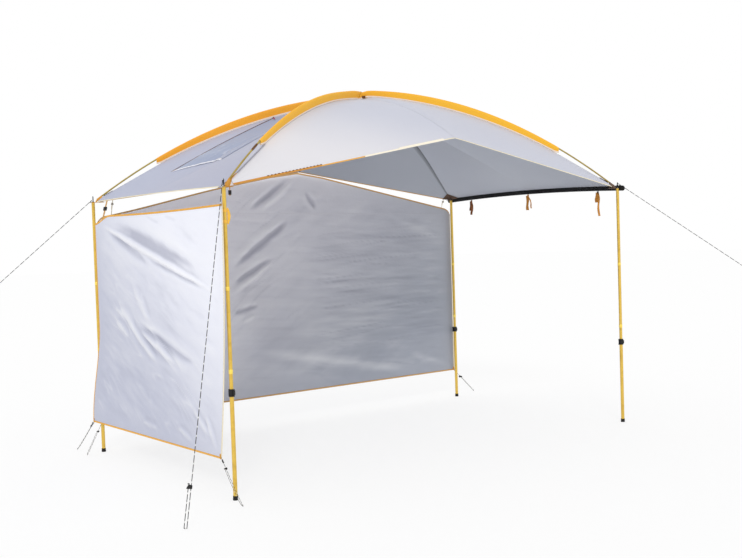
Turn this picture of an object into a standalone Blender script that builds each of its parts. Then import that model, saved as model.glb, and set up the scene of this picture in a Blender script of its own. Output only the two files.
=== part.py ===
# Car awning: a canopy on two crossed arch poles and four telescopic legs, with two hanging walls.
# Metres, +Z up. Built about the middle of the four feet, then moved so that the origin lies below
# the middle of the whole without its cords. +X points to the vehicle side, -Y to the open front.
import math

import bmesh
import bpy
from mathutils import Matrix, Vector

# Layout of the legs and the canopy
SPAN_X = 3.79
SPAN_Y = 2.14
LEG_TOP = 2.0
ARCH_RISE = 0.805
FRONT_PEAK_RISE = 0.37
BACK_PEAK_RISE = 0.265
PEAK_SHIFT = 0.07
LEFT_EAVE_RISE = 0.012
SEAM_BULGE = 0.085
SIDE_BULGE = 0.03
CANOPY_CLOTH = 0.002
RIDGE_CUT = 0.09
EAVE_CUT = 0.075
FIT = 0.0003

# Telescopic legs
TUBE_R = 0.0127
TUBE_WALL = 0.0012
JOINT_HEIGHT = 1.34
SWAGE_HEIGHT = 0.81
SWAGE_LENGTH = 0.03
SWAGE_BEAD = 0.0007
SPIGOT_LENGTH = 0.08
INNER_R = 0.0124
INNER_END = 0.24
OUTER_WALL = 0.0013
OUTER_TOP = 0.69
SPIKE_R = 0.004
SPIKE_LENGTH = 0.053
SPIKE_TIP_R = 0.0012
PLUG_DEPTH = 0.03
FOOT_R = 0.0165
FOOT_HEIGHT = 0.028
FOOT_FLOOR = 0.012

# Flip clamps
CLAMP_R = 0.020
CLAMP_HALF_HEIGHT = 0.024
EAR_THICKNESS = 0.007
EAR_WIDTH = 0.015
EAR_REACH = 0.031
HINGE_OFFSET = 0.026
KNUCKLE_R = 0.0042
HINGE_PIN_R = 0.0018
LEVER_THICKNESS = 0.0032
LEVER_ARC = math.radians(118)
BACK_LEFT_CLAMP_TURN = -60

# Arch poles, their sleeves and the corner pockets
POLE_R = 0.00635
TIP_R = 0.0045
SLEEVE_DEPTH = 0.062
SLEEVE_END_DEPTH = 0.042
SLEEVE_CLOTH = 0.0015
SLEEVE_CUT = 0.51
SLEEVE_GAP = 0.038
RIDGE_GAP = 0.001
CORNER_DROP = 0.012
POCKET_PLATE = 0.003
POCKET_START = 0.020
POCKET_END = 0.072
POCKET_FLOOR = 0.032
POCKET_HALF_WIDTH = 0.011
POCKET_WALL = 0.004
PLATE_HALF_WIDTH = 0.022
PLATE_LENGTH = 0.085
CLIP_WALL = 0.003
CLIP_LENGTH = 0.016

# Vent hood on the left roof panel
VENT_LIFT = 0.036
VENT_HALF_COLUMNS = 4

# Vehicle strip and its ties
STRIP_HEIGHT = 0.044
STRIP_THICKNESS = 0.004
STRIP_ARCH = 0.026
STRIP_LIFT = 0.002
STRIP_OVERHANG = 0.065
TIE_THICKNESS = 0.002
TIE_BAND = 0.011
TIE_TOP_BAR = 0.022
SHORT_TIE = 0.145
LONG_TIE = 0.215

# Walls
WALL_CLOTH = 0.002
WALL_OFFSET = 0.040
LEFT_WALL_HANG = 0.11
BACK_WALL_HANG = 0.09
WALL_DROP = 0.003
LEFT_WALL_REACH = 0.045
LEFT_WALL_TUCK = 0.135
BACK_WALL_REACH = 0.012
WALL_CORNER = 0.022
WALL_CORNER_DROP = 0.055
GAP_FROM = 0.15
HEM_HEIGHT = 0.25
BUCKLE_HALF_WIDTH = 0.012
BUCKLE_HALF_DEPTH = 0.006
BUCKLE_LENGTH = 0.032
STRAP_HALF_WIDTH = 0.009
STRAP_HALF_DEPTH = 0.0012
LEG_LOOP_BELOW = 0.12
LEG_LOOP_LENGTH = 0.09
LEG_LOOP_WALL = 0.002

# Cords
GUY_R = 0.002
CORD_R = 0.0015
STRAND_GAP = 0.018
RUNNER_HALF_LENGTH = 0.017
RUNNER_HALF_WIDTH = 0.006
RUNNER_HALF_THICKNESS = 0.012
RUNNER_AT = 0.887
KNOT_LENGTH = 0.009
PEG_HOOK = 0.005
# Each wall cord's leg, and how far outside that leg its peg stands in X and in Y.
# Creases of the walls as start, end, depth and half width, in shares of the spans and the leg's height.
LEFT_CREASES = [
    ((0.36 * SPAN_Y, 0.91 * LEG_TOP), (-0.453 * SPAN_Y, 0.66 * LEG_TOP), 0.016, 0.10),
    ((0.383 * SPAN_Y, 0.625 * LEG_TOP), (-0.29 * SPAN_Y, 0.275 * LEG_TOP), -0.012, 0.12),
    ((-0.243 * SPAN_Y, 0.31 * LEG_TOP), (-0.477 * SPAN_Y, 0.15 * LEG_TOP), 0.012, 0.10),
]
BACK_CREASES = [
    ((-0.363 * SPAN_X, 0.675 * LEG_TOP), (0.045 * SPAN_X, 0.975 * LEG_TOP), 0.016, 0.11),
    ((-0.336 * SPAN_X, 0.525 * LEG_TOP), (0.15 * SPAN_X, 0.80 * LEG_TOP), -0.012, 0.12),
    ((0.018 * SPAN_X, 1.10 * LEG_TOP), (-0.204 * SPAN_X, 0.875 * LEG_TOP), 0.012, 0.10),
    ((0.098 * SPAN_X, 0.775 * LEG_TOP), (0.472 * SPAN_X, 0.65 * LEG_TOP), 0.012, 0.12),
]
WALL_PEGS = {
    "left_front": ("front_left", 0.06, 0.20),
    "left_back": ("back_left", 0.145, 0.20),
    "back_left": ("back_left", 0.165, -0.07),
    "back_right": ("back_right", 0.335, 0.11),
}

SIDES = 12
HALF_DIAGONAL = math.hypot(SPAN_X, SPAN_Y) / 2
UP = Vector((0, 0, 1))
CORNERS = {"front_left": (-1, -1), "back_left": (-1, 1), "front_right": (1, -1), "back_right": (1, 1)}
OUTER_R = INNER_R + FIT + OUTER_WALL
SLEEVE_TOP = POLE_R + FIT + SLEEVE_CLOTH
UPPER_RISE = ARCH_RISE + SLEEVE_TOP + POLE_R + FIT
SLEEVE_END = HALF_DIAGONAL - SLEEVE_CUT
RIDGE_END = HALF_DIAGONAL - RIDGE_CUT
RISES = {"front_left": UPPER_RISE, "back_right": UPPER_RISE, "back_left": ARCH_RISE, "front_right": ARCH_RISE}


def start_scene():
    for old in list(bpy.data.objects):
        bpy.data.objects.remove(old, do_unlink=True)


def material(name, colour, roughness, metallic=0.0):
    made = bpy.data.materials.get(name) or bpy.data.materials.new(name)
    made.use_nodes = True
    shader = made.node_tree.nodes["Principled BSDF"]
    shader.inputs["Base Color"].default_value = (*colour, 1.0)
    shader.inputs["Roughness"].default_value = roughness
    shader.inputs["Metallic"].default_value = metallic
    return made


def gold_tube():
    return material("gold_tube", (0.72, 0.52, 0.10), 0.35, 0.8)


def black_plastic():
    return material("black_plastic", (0.02, 0.02, 0.02), 0.5)


def foot_rubber():
    return material("foot_rubber", (0.025, 0.025, 0.025), 0.8)


def orange_webbing():
    return material("orange_webbing", (0.86, 0.42, 0.05), 0.8)


def sleeve_cloth():
    return material("sleeve_cloth", (0.95, 0.50, 0.05), 0.7)


def canopy_cloth():
    return material("canopy_cloth", (0.66, 0.67, 0.70), 0.6)


def wall_cloth():
    return material("wall_cloth", (0.62, 0.61, 0.66), 0.65)


def strip_webbing():
    return material("strip_webbing", (0.015, 0.015, 0.018), 0.7)


def guy_line():
    return material("guy_line", (0.25, 0.25, 0.25), 0.8)


def place(name, mesh, surface, at=(0, 0, 0), turn=0.0):
    made = bpy.data.objects.new(name, mesh)
    mesh.materials.clear()
    mesh.materials.append(surface)
    made.location = at
    made.rotation_euler = (0, 0, turn)
    bpy.context.scene.collection.objects.link(made)
    return made


def closed_mesh(name, points, faces):
    # Normals are made to face outwards, whatever order the rings came in.
    mesh = bpy.data.meshes.new(name)
    mesh.from_pydata([tuple(p) for p in points], [], faces)
    work = bmesh.new()
    work.from_mesh(mesh)
    bmesh.ops.recalc_face_normals(work, faces=work.faces)
    work.to_mesh(mesh)
    work.free()
    mesh.shade_smooth()
    mesh.set_sharp_from_angle(angle=math.radians(35))
    return mesh


def loft(name, rings, closed=False):
    # Joins rings of equal point counts. A closed loft runs back to its first ring, as a tube's
    # inner wall does; an open one gets a cap at each end.
    count = len(rings[0])
    points = [p for ring in rings for p in ring]
    spans = len(rings) if closed else len(rings) - 1
    faces = []
    for i in range(spans):
        near, far = i * count, ((i + 1) % len(rings)) * count
        for j in range(count):
            k = (j + 1) % count
            faces.append((near + j, near + k, far + k, far + j))
    if not closed:
        faces.append(tuple(range(count)))
        faces.append(tuple(range(len(points) - count, len(points))))
    return closed_mesh(name, points, faces)


def circle(radius, height, sides=SIDES):
    steps = [2 * math.pi * i / sides for i in range(sides)]
    return [Vector((radius * math.cos(a), radius * math.sin(a), height)) for a in steps]


def turned(name, profile, closed=True, sides=SIDES):
    return loft(name, [circle(r, z, sides) for r, z in profile], closed)


def prism(name, outline, low, high, frame):
    # Extrudes a flat outline between two distances. frame maps (across, up, along) to a point.
    rings = [[frame(a, b, along) for a, b in outline] for along in (low, high)]
    return loft(name, rings)


def sheet(name, rows, half_thickness):
    # Cloth of even thickness about a grid of points that lie midway through it.
    across, down = len(rows[0]), len(rows)
    flat = [p for row in rows for p in row]
    points = [p + half_thickness for p in flat] + [p - half_thickness for p in flat]
    size = len(flat)
    faces = []
    for i in range(down - 1):
        for j in range(across - 1):
            a, b = i * across + j, (i + 1) * across + j
            faces.append((a, a + 1, b + 1, b))
            faces.append((size + a, size + b, size + b + 1, size + a + 1))
    rim = list(range(across)) + [i * across + across - 1 for i in range(1, down)]
    rim += [(down - 1) * across + j for j in range(across - 2, -1, -1)]
    rim += [i * across for i in range(down - 2, 0, -1)]
    for i, a in enumerate(rim):
        b = rim[(i + 1) % len(rim)]
        faces.append((a, size + a, size + b, b))
    return closed_mesh(name, points, faces)


def combine(body, tool, operation):
    # Joins or cuts a mesh with another, both in the same place, and returns the new mesh.
    first = bpy.data.objects.new("first", body)
    second = bpy.data.objects.new("second", tool)
    for item in (first, second):
        bpy.context.scene.collection.objects.link(item)
    change = first.modifiers.new("join", "BOOLEAN")
    change.operation = operation
    change.object = second
    graph = bpy.context.evaluated_depsgraph_get()
    made = bpy.data.meshes.new_from_object(first.evaluated_get(graph))
    for item in (first, second):
        bpy.data.objects.remove(item, do_unlink=True)
    made.shade_smooth()
    made.set_sharp_from_angle(angle=math.radians(35))
    return made


def box(name, low, high):
    corners = [(low[0], low[1]), (high[0], low[1]), (high[0], high[1]), (low[0], high[1])]
    return prism(name, corners, low[2], high[2], lambda a, b, along: Vector((a, b, along)))


def leg_foot(corner):
    side_x, side_y = CORNERS[corner]
    return Vector((side_x * SPAN_X / 2, side_y * SPAN_Y / 2, 0))


def inward(corner):
    return (-leg_foot(corner)).normalized()


def top_section_mesh():
    bore = TUBE_R - TUBE_WALL
    bead = TUBE_R + SWAGE_BEAD
    chamfer = TUBE_WALL
    profile = [
        (bore, LEG_TOP - PLUG_DEPTH),
        (bore, JOINT_HEIGHT),
        (bead, JOINT_HEIGHT),
        (bead, JOINT_HEIGHT + SWAGE_LENGTH / 2),
        (TUBE_R, JOINT_HEIGHT + SWAGE_LENGTH / 2 + SWAGE_BEAD),
        (TUBE_R, LEG_TOP - chamfer),
        (TUBE_R - chamfer, LEG_TOP),
        (SPIKE_R, LEG_TOP),
        (SPIKE_R, LEG_TOP + SPIKE_LENGTH - 2 * SPIKE_R),
        (SPIKE_TIP_R, LEG_TOP + SPIKE_LENGTH),
    ]
    return turned("top_section", profile, closed=False)


def inner_section_mesh():
    neck = TUBE_R - TUBE_WALL - FIT
    bore = neck - TUBE_WALL
    bead = TUBE_R + SWAGE_BEAD
    profile = [
        (bore, JOINT_HEIGHT + SPIGOT_LENGTH),
        (bore, INNER_END),
        (INNER_R, INNER_END),
        (INNER_R, SWAGE_HEIGHT),
        (bead, SWAGE_HEIGHT),
        (bead, SWAGE_HEIGHT + SWAGE_LENGTH),
        (TUBE_R, SWAGE_HEIGHT + SWAGE_LENGTH + SWAGE_BEAD),
        (TUBE_R, JOINT_HEIGHT - FIT),
        (neck, JOINT_HEIGHT - FIT),
        (neck, JOINT_HEIGHT + SPIGOT_LENGTH),
    ]
    return turned("inner_section", profile)


def lower_tube_mesh():
    bore = INNER_R + FIT
    profile = [(bore, OUTER_TOP), (bore, FOOT_FLOOR + FIT), (OUTER_R, FOOT_FLOOR + FIT), (OUTER_R, OUTER_TOP)]
    return turned("lower_tube", profile)


def foot_mesh():
    cup = OUTER_R + FIT
    rim = FOOT_R + OUTER_WALL / 2
    profile = [
        (cup, FOOT_FLOOR),
        (cup, FOOT_HEIGHT),
        (FOOT_R, FOOT_HEIGHT),
        (FOOT_R, FOOT_FLOOR),
        (rim, FOOT_FLOOR - OUTER_WALL),
        (rim, 0),
    ]
    return turned("foot", profile, closed=False)


def clamp_mesh():
    # A collar that grips the top of the lower tube and guides the inner one, with two ears that
    # carry the lever's hinge. Heights are about the top of the lower tube, the ears lie along +X.
    grip = OUTER_R + FIT
    guide = INNER_R + FIT
    high = CLAMP_HALF_HEIGHT
    edge = CLAMP_R - OUTER_WALL
    collar = turned(
        "collar",
        [
            (guide, FIT),
            (grip, FIT),
            (grip, -high),
            (edge, -high),
            (CLAMP_R, -high + OUTER_WALL),
            (CLAMP_R, high - OUTER_WALL),
            (edge, high),
            (guide, high),
        ],
    )
    ears = box("ears", (grip + FIT, -EAR_WIDTH / 2, OUTER_WALL - high), (EAR_REACH, EAR_WIDTH / 2, high - OUTER_WALL))
    whole = combine(collar, ears, "UNION")
    slot = high - OUTER_WALL - EAR_THICKNESS
    gap = box("gap", (CLAMP_R - OUTER_WALL, -EAR_WIDTH, -slot), (2 * EAR_REACH, EAR_WIDTH, slot))
    whole = combine(whole, gap, "DIFFERENCE")
    hole = loft("hole", [circle(HINGE_PIN_R + FIT, z, 8) for z in (-2 * high, 2 * high)])
    hole.transform(Matrix.Translation((HINGE_OFFSET, 0, 0)))
    return combine(whole, hole, "DIFFERENCE")


def lever_mesh():
    # A curved lever that hugs the collar. Its origin is on the hinge's axis.
    slot = CLAMP_HALF_HEIGHT - OUTER_WALL - EAR_THICKNESS
    pin = CLAMP_HALF_HEIGHT - 2 * OUTER_WALL
    half = slot - FIT
    knuckle = loft(
        "knuckle",
        [
            circle(HINGE_PIN_R, -pin, 8),
            circle(HINGE_PIN_R, -half, 8),
            circle(KNUCKLE_R, -half, 8),
            circle(KNUCKLE_R, half, 8),
            circle(HINGE_PIN_R, half, 8),
            circle(HINGE_PIN_R, pin, 8),
        ],
    )
    inside = CLAMP_R + 2 * FIT
    outside = inside + LEVER_THICKNESS
    steps = 9
    rings = []
    for i in range(steps + 1):
        angle = math.radians(2) + LEVER_ARC * i / steps
        lift = 0.0022 * max(0.0, 3 * i / steps - 2)
        centre = Vector((-HINGE_OFFSET, 0, 0))
        out = Vector((math.cos(angle), math.sin(angle), 0))
        ring = [(inside + lift, -half), (outside + lift, -half), (outside + lift, half), (inside + lift, half)]
        rings.append([centre + out * r + UP * z for r, z in ring])
    return combine(knuckle, loft("arm", rings), "UNION")


def build_legs():
    meshes = {
        "leg_top_section": (top_section_mesh(), gold_tube),
        "leg_inner_section": (inner_section_mesh(), gold_tube),
        "leg_lower_tube": (lower_tube_mesh(), gold_tube),
        "leg_foot": (foot_mesh(), foot_rubber),
    }
    clamp, lever = clamp_mesh(), lever_mesh()
    turns = {"front_left": -90, "back_left": BACK_LEFT_CLAMP_TURN, "front_right": 180, "back_right": 180}
    for corner in CORNERS:
        foot = leg_foot(corner)
        for part, (mesh, surface) in meshes.items():
            place(f"{part}_{corner}", mesh, surface(), foot)
        turn = math.radians(turns[corner])
        height = UP * OUTER_TOP
        hinge = foot + height + Vector((math.cos(turn), math.sin(turn), 0)) * HINGE_OFFSET
        place(f"leg_clamp_{corner}", clamp, black_plastic(), foot + height, turn)
        place(f"clamp_lever_{corner}", lever, black_plastic(), hinge, turn)


def arch_height(s, rise):
    return LEG_TOP + rise * (1 - (s / HALF_DIAGONAL) ** 2)


def arch_frame(corner, s, rise):
    # The arch's point at s from the middle towards the corner, the sideways direction and the
    # upright one, drawn out so that an upright ring still has its true size across the slope.
    out = -inward(corner)
    slope = 2 * rise * s / HALF_DIAGONAL**2
    return out * s + UP * arch_height(s, rise), UP.cross(out), UP * math.hypot(1, slope)


def arch_ring(corner, s, rise, section):
    centre, sideways, upright = arch_frame(corner, s, rise)
    return [centre + sideways * a + upright * b for a, b in section]


def stations(start, end, steps):
    return [start + (end - start) * i / steps for i in range(steps + 1)]


def sleeve_stations():
    # Poles, sleeves and roof ridges turn at the same places, so that their facets lie side by side.
    return stations(SLEEVE_GAP, SLEEVE_END, 13)


def ease(t):
    t = min(1.0, max(0.0, t))
    return t * t * (3 - 2 * t)


def sleeve_depth(s, rise):
    # How far the cloth band hangs below the pole: least at its ends, and both bands end at one
    # height where the arches cross.
    lift = (rise - ARCH_RISE) * (1 - ease(abs(s) / SLEEVE_CUT))
    swell = (SLEEVE_DEPTH - SLEEVE_END_DEPTH) * math.sin(math.pi * min(1.0, abs(s) / SLEEVE_END))
    return SLEEVE_END_DEPTH + swell + lift


def sleeve_section(depth, inset):
    # A drop shape: round over the pole, then narrowing down to the seam with the roof.
    top = SLEEVE_TOP - inset
    half = [(top * math.cos(math.radians(a)), top * math.sin(math.radians(a))) for a in (45, 0)]
    waist, seam = 0.0062, 0.0032
    half += [(waist - inset, -depth * 0.4), ((waist + seam) / 2 - inset, -depth * 0.7), (seam - inset, inset - depth)]
    return [(0.0, top)] + half + [(-a, b) for a, b in reversed(half)]


def build_pole(name, corner, rise):
    end = HALF_DIAGONAL - POCKET_FLOOR - TIP_R
    shoulder = HALF_DIAGONAL - POCKET_END - FIT
    half = sleeve_stations()
    half += stations(half[-1], shoulder, 4)[1:]
    run = [(-end, TIP_R), (-shoulder, TIP_R)]
    run += [(s, POLE_R) for s in [-s for s in reversed(half)] + [0.0] + half]
    run += [(shoulder, TIP_R), (end, TIP_R)]
    turns = [math.pi * i / 4 for i in range(8)]
    rings = [arch_ring(corner, s, rise, [(r * math.cos(t), r * math.sin(t)) for t in turns]) for s, r in run]
    place(name, loft(name, rings), gold_tube())


def build_sleeve(name, corner, rise, run):
    outer = [arch_ring(corner, s, rise, sleeve_section(sleeve_depth(s, rise), 0)) for s in run]
    inner = [arch_ring(corner, s, rise, sleeve_section(sleeve_depth(s, rise), SLEEVE_CLOTH)) for s in reversed(run)]
    place(name, loft(name, outer + inner, closed=True), sleeve_cloth())


def build_arches():
    half = sleeve_stations()
    build_pole("arch_pole_lower", "front_right", ARCH_RISE)
    build_pole("arch_pole_upper", "back_right", UPPER_RISE)
    build_sleeve("sleeve_lower_arch", "front_right", ARCH_RISE, [-s for s in reversed(half)] + [0.0] + half)
    build_sleeve("sleeve_upper_arch_front", "front_left", UPPER_RISE, half)
    build_sleeve("sleeve_upper_arch_back", "back_right", UPPER_RISE, half)


def build_crossing_clip():
    # A snap clip over the upper pole, with its feet on the lower arch's sleeve.
    centre, sideways, upright = arch_frame("back_right", 0, UPPER_RISE)
    along = sideways.cross(upright)
    inside = POLE_R + FIT
    outside = inside + CLIP_WALL
    sole = -(POLE_R + FIT) + 2 * FIT
    turns = [math.pi * i / 8 for i in range(9)]
    outline = [(outside, sole)] + [(outside * math.cos(t), outside * math.sin(t)) for t in turns]
    outline += [(-outside, sole), (-inside, sole)]
    outline += [(inside * math.cos(t), inside * math.sin(t)) for t in reversed(turns)] + [(inside, sole)]
    mesh = prism(
        "clip",
        outline,
        -CLIP_LENGTH / 2,
        CLIP_LENGTH / 2,
        lambda a, b, c: centre + sideways * a + upright * b + along * c,
    )
    place("crossing_clip", mesh, black_plastic())


def pocket_mesh(rise):
    # Corner plate with a hole for the spike and a raised socket for the arch pole's tip. +X points
    # inwards along the diagonal, the origin is on the leg's axis at its top.
    def axis_height(x):
        return arch_height(HALF_DIAGONAL - x, rise) - LEG_TOP

    eye = TUBE_R
    turns = [math.radians(a) for a in range(110, 251, 20)]
    outline = [(eye * math.cos(t), eye * math.sin(t)) for t in turns]
    shoulder = 2 * eye
    outline += [(shoulder, -PLATE_HALF_WIDTH), (PLATE_LENGTH, -PLATE_HALF_WIDTH)]
    outline += [(PLATE_LENGTH, PLATE_HALF_WIDTH), (shoulder, PLATE_HALF_WIDTH)]
    plate = prism("plate", outline, FIT, FIT + POCKET_PLATE, lambda a, b, c: Vector((a, b, c)))
    sunk = FIT + POCKET_PLATE / 2
    roof = TIP_R + POCKET_WALL + FIT
    profile = [
        (POCKET_START, sunk),
        (POCKET_END, sunk),
        (POCKET_END, axis_height(POCKET_END) + roof),
        (POCKET_START, axis_height(POCKET_START) + roof),
    ]
    wedge = prism(
        "wedge", profile, -POCKET_HALF_WIDTH, POCKET_HALF_WIDTH, lambda a, b, c: Vector((a, c, b))
    )
    whole = combine(plate, wedge, "UNION")
    floor = Vector((POCKET_FLOOR, 0, axis_height(POCKET_FLOOR)))
    mouth = Vector((POCKET_END, 0, axis_height(POCKET_END)))
    reach = mouth - floor
    turn = UP.rotation_difference(reach).to_matrix().to_4x4()
    bore = loft("bore", [circle(TIP_R + 2 * FIT, z, 10) for z in (0, 2 * reach.length)])
    bore.transform(Matrix.Translation(floor) @ turn)
    whole = combine(whole, bore, "DIFFERENCE")
    eyelet = loft("eyelet", [circle(SPIKE_R + FIT, z, 10) for z in (-PLATE_LENGTH, PLATE_LENGTH)])
    return combine(whole, eyelet, "DIFFERENCE")


def build_pockets():
    for corner in CORNERS:
        way = inward(corner)
        turn = math.atan2(way.y, way.x)
        at = leg_foot(corner) + UP * LEG_TOP
        place(f"corner_pocket_{corner}", pocket_mesh(RISES[corner]), orange_webbing(), at, turn)


def ridge_point(corner, k):
    # The canopy's ridge under an arch, from the corner (k 0) to the crossing (k 1). It hangs from
    # the sleeve, and runs straight from the sleeve's end to the corner.
    s = RIDGE_END * (1 - k)
    rise = RISES[corner]
    held = min(s, SLEEVE_END)
    slope = 2 * rise * held / HALF_DIAGONAL**2
    z = arch_height(held, rise) - (sleeve_depth(held, rise) + RIDGE_GAP) * math.hypot(1, slope) - CANOPY_CLOTH / 2
    if s > held:
        low = arch_height(RIDGE_END, rise) - CORNER_DROP
        z += (low - z) * (s - held) / (RIDGE_END - held)
    return -inward(corner) * s + UP * z


def strip_height(y):
    return LEG_TOP + STRIP_LIFT + STRIP_ARCH * (1 - (2 * y / SPAN_Y) ** 2)


def strip_inner_x():
    return SPAN_X / 2 + TUBE_R + 2 * FIT


def eave_point(side, corner, k):
    # The canopy's free edge, from near the corner (k 0) to its middle (k 1).
    start = leg_foot(corner)
    if side in ("front", "back"):
        rise = FRONT_PEAK_RISE if side == "front" else BACK_PEAK_RISE
        middle = Vector((PEAK_SHIFT, start.y, LEG_TOP + rise))
        start = start + UP * LEG_TOP
        start = start + (middle - start).normalized() * EAVE_CUT
        return start.lerp(middle, k)
    y = start.y * (1 - k) * (1 - 2 * EAVE_CUT / SPAN_Y)
    if side == "left":
        return Vector((start.x, y, LEG_TOP + LEFT_EAVE_RISE * (1 - (2 * y / SPAN_Y) ** 2)))
    return Vector((strip_inner_x() - FIT, y, strip_height(y) + STRIP_HEIGHT / 2 - 2 * CANOPY_CLOTH))


ROOF_SIDES = {
    "front": ("front_left", "front_right", Vector((0, -FIT, 0))),
    "back": ("back_right", "back_left", Vector((0, FIT, 0))),
    "left": ("back_left", "front_left", Vector((-FIT, 0, 0))),
    "right": ("front_right", "back_right", Vector((FIT, 0, 0))),
}


def roof_point(side, corner, k, down):
    ridge, eave = ridge_point(corner, k), eave_point(side, corner, k)
    across = 4 * down * (1 - down)
    if side in ("front", "back"):
        bulge = SEAM_BULGE * k**1.5
    else:
        bulge = SIDE_BULGE * math.sin(math.pi * k / 2)
    shift = ROOF_SIDES[side][2] * (1 - down)
    return ridge.lerp(eave, down) + UP * bulge * across + shift


ROOF_ROWS = (0, 0.15, 0.33, 0.5, 0.67, 1)
VENT_ROWS = ROOF_ROWS[1:5]


def ridge_steps():
    # From the corner to the crossing, in step with every other facet of the sleeve.
    half = [0.0] + sleeve_stations()[1::2]
    half += stations(half[-1], RIDGE_END, 3)[1:]
    return [1 - s / RIDGE_END for s in reversed(half)]


def build_roof():
    steps = ridge_steps()
    for side, (first, second, _) in ROOF_SIDES.items():
        run = [(first, k) for k in steps]
        run += [(second, k) for k in reversed(steps[:-1])]
        rows = [[roof_point(side, corner, k, down) for down in ROOF_ROWS] for corner, k in run]
        place(f"roof_{side}", sheet(f"roof_{side}", rows, UP * CANOPY_CLOTH / 2), canopy_cloth())


def build_vent():
    # A hood over the vent in the left roof panel. It shares the panel's facets, is zipped along
    # its back edge and stands open at its lower edge.
    steps = ridge_steps()[-VENT_HALF_COLUMNS:]
    run = [("back_left", k) for k in steps] + [("front_left", k) for k in reversed(steps[:-1])]
    rows = []
    for i, (corner, k) in enumerate(run):
        across = math.sin(math.pi * i / (len(run) - 1))
        row = []
        for j, down in enumerate(VENT_ROWS):
            lift = VENT_LIFT * across * (j / (len(VENT_ROWS) - 1)) ** 1.5
            row.append(roof_point("left", corner, k, down) + UP * (CANOPY_CLOTH + 2 * FIT + lift))
        rows.append(row)
    place("vent_hood", sheet("vent_hood", rows, UP * CANOPY_CLOTH / 2), canopy_cloth())


def build_strip():
    # Webbing band along the vehicle side, outside the legs, flat towards the vehicle.
    end = SPAN_Y / 2 + STRIP_OVERHANG
    half = STRIP_HEIGHT / 2
    ys = stations(-end + half, end - half, 16)
    round_end = [math.pi * i / 6 for i in range(1, 6)]
    low = [(y, strip_height(y) - half) for y in ys]
    high = [(y, strip_height(y) + half) for y in reversed(ys)]
    right = [(ys[-1] + half * math.sin(t), strip_height(ys[-1]) - half * math.cos(t)) for t in round_end]
    left = [(ys[0] - half * math.sin(t), strip_height(ys[0]) + half * math.cos(t)) for t in round_end]
    x = strip_inner_x()
    mesh = prism("strip", low + right + high + left, x, x + STRIP_THICKNESS, lambda a, b, c: Vector((c, a, b)))
    place("vehicle_strip", mesh, strip_webbing())


def build_ties():
    # Each tie is a pair of webbing tails that swings from the strip's lower edge.
    x = strip_inner_x() + STRIP_THICKNESS / 2
    for number, (y, long_tail) in enumerate(((0.78, SHORT_TIE), (0.0, SHORT_TIE), (-0.84, LONG_TIE)), 1):
        short_tail = long_tail * 0.5
        half = TIE_THICKNESS / 2
        bar = TIE_TOP_BAR
        outline = [
            (-TIE_BAND, half),
            (TIE_BAND + FIT, half),
            (TIE_BAND + 0.006, -short_tail),
            (0.005, -short_tail),
            (0.001, -bar),
            (-0.001, -bar),
            (-0.002, -long_tail),
            (-TIE_BAND - 0.002, -long_tail),
        ]
        mesh = prism("tie", outline, -half, half, lambda a, b, c: Vector((c, a, b)))
        drop = abs(strip_height(y + TIE_BAND) - strip_height(y))
        hinge = strip_height(y) - STRIP_HEIGHT / 2 - math.hypot(half, half) - drop - FIT
        place(f"strip_tie_{number}", mesh, orange_webbing(), (x, y, hinge))


def crease(across, up, start, end, depth, width):
    # One fold along a line from start to end, deepest midway, in the wall's own plane.
    run = (end[0] - start[0], end[1] - start[1])
    length = math.hypot(*run)
    along = ((across - start[0]) * run[0] + (up - start[1]) * run[1]) / length**2
    off = ((across - start[0]) * run[1] - (up - start[1]) * run[0]) / length
    if not 0 < along < 1:
        return 0.0
    return depth * math.exp(-((off / width) ** 2)) * math.sin(math.pi * along)


def left_wall_rows():
    # Seen from outside: the top edge hangs below the eave, with its back corner cut off.
    across, down = 15, 14
    front, back = -SPAN_Y / 2, SPAN_Y / 2
    rows = []
    for i in range(down + 1):
        v = i / down
        near = front - LEFT_WALL_REACH + LEFT_WALL_TUCK * v**2
        far = back - 0.115 + 0.20 * ease((v - 0.62) / 0.38)
        row = []
        for j in range(across + 1):
            t = j / across
            y = near + (far - near) * t
            cut = 0.06 * ease((t - 0.86) / 0.14)
            top = LEG_TOP - LEFT_WALL_HANG - cut - 0.012 * math.sin(math.pi * t)
            z = top + (HEM_HEIGHT + 0.008 - 0.02 * t - top) * v
            fold = sum(crease(y, z, *line) for line in LEFT_CREASES)
            row.append(Vector((-SPAN_X / 2 - WALL_OFFSET - abs(fold), y, z)))
        rows.append(row)
    return rows


def back_wall_rows():
    # The top edge follows the back eave up to its peak, the lower corners meet the legs.
    across, down = 22, 12
    left, right = -SPAN_X / 2 + 0.02, SPAN_X / 2 + BACK_WALL_REACH
    columns = sorted([j / across for j in range(across + 1)] + [WALL_CORNER, 1 - WALL_CORNER])
    rows = []
    for i in range(down + 1):
        v = i / down
        row = []
        for t in columns:
            x = left + (right - left) * t
            away = (PEAK_SHIFT - x) / (PEAK_SHIFT - left) if x < PEAK_SHIFT else (x - PEAK_SHIFT) / (right - PEAK_SHIFT)
            top = LEG_TOP + BACK_PEAK_RISE * (1 - away) - WALL_DROP - BACK_WALL_HANG * max(0, away - GAP_FROM) / (1 - GAP_FROM)
            top -= WALL_CORNER_DROP * (1 - math.sqrt(1 - min(1, max(0, (away - 1 + 2 * WALL_CORNER) / (2 * WALL_CORNER))) ** 2))
            z = top + (HEM_HEIGHT + 0.02 * t - top) * v
            fold = sum(crease(x, z, *line) for line in BACK_CREASES)
            row.append(Vector((x, SPAN_Y / 2 + WALL_OFFSET + abs(fold), z)))
        rows.append(row)
    return rows


def build_walls():
    half = WALL_CLOTH / 2
    place("wall_left", sheet("wall_left", left_wall_rows(), Vector((half, 0, 0))), wall_cloth())
    place("wall_back", sheet("wall_back", back_wall_rows(), Vector((0, half, 0))), wall_cloth())


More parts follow.
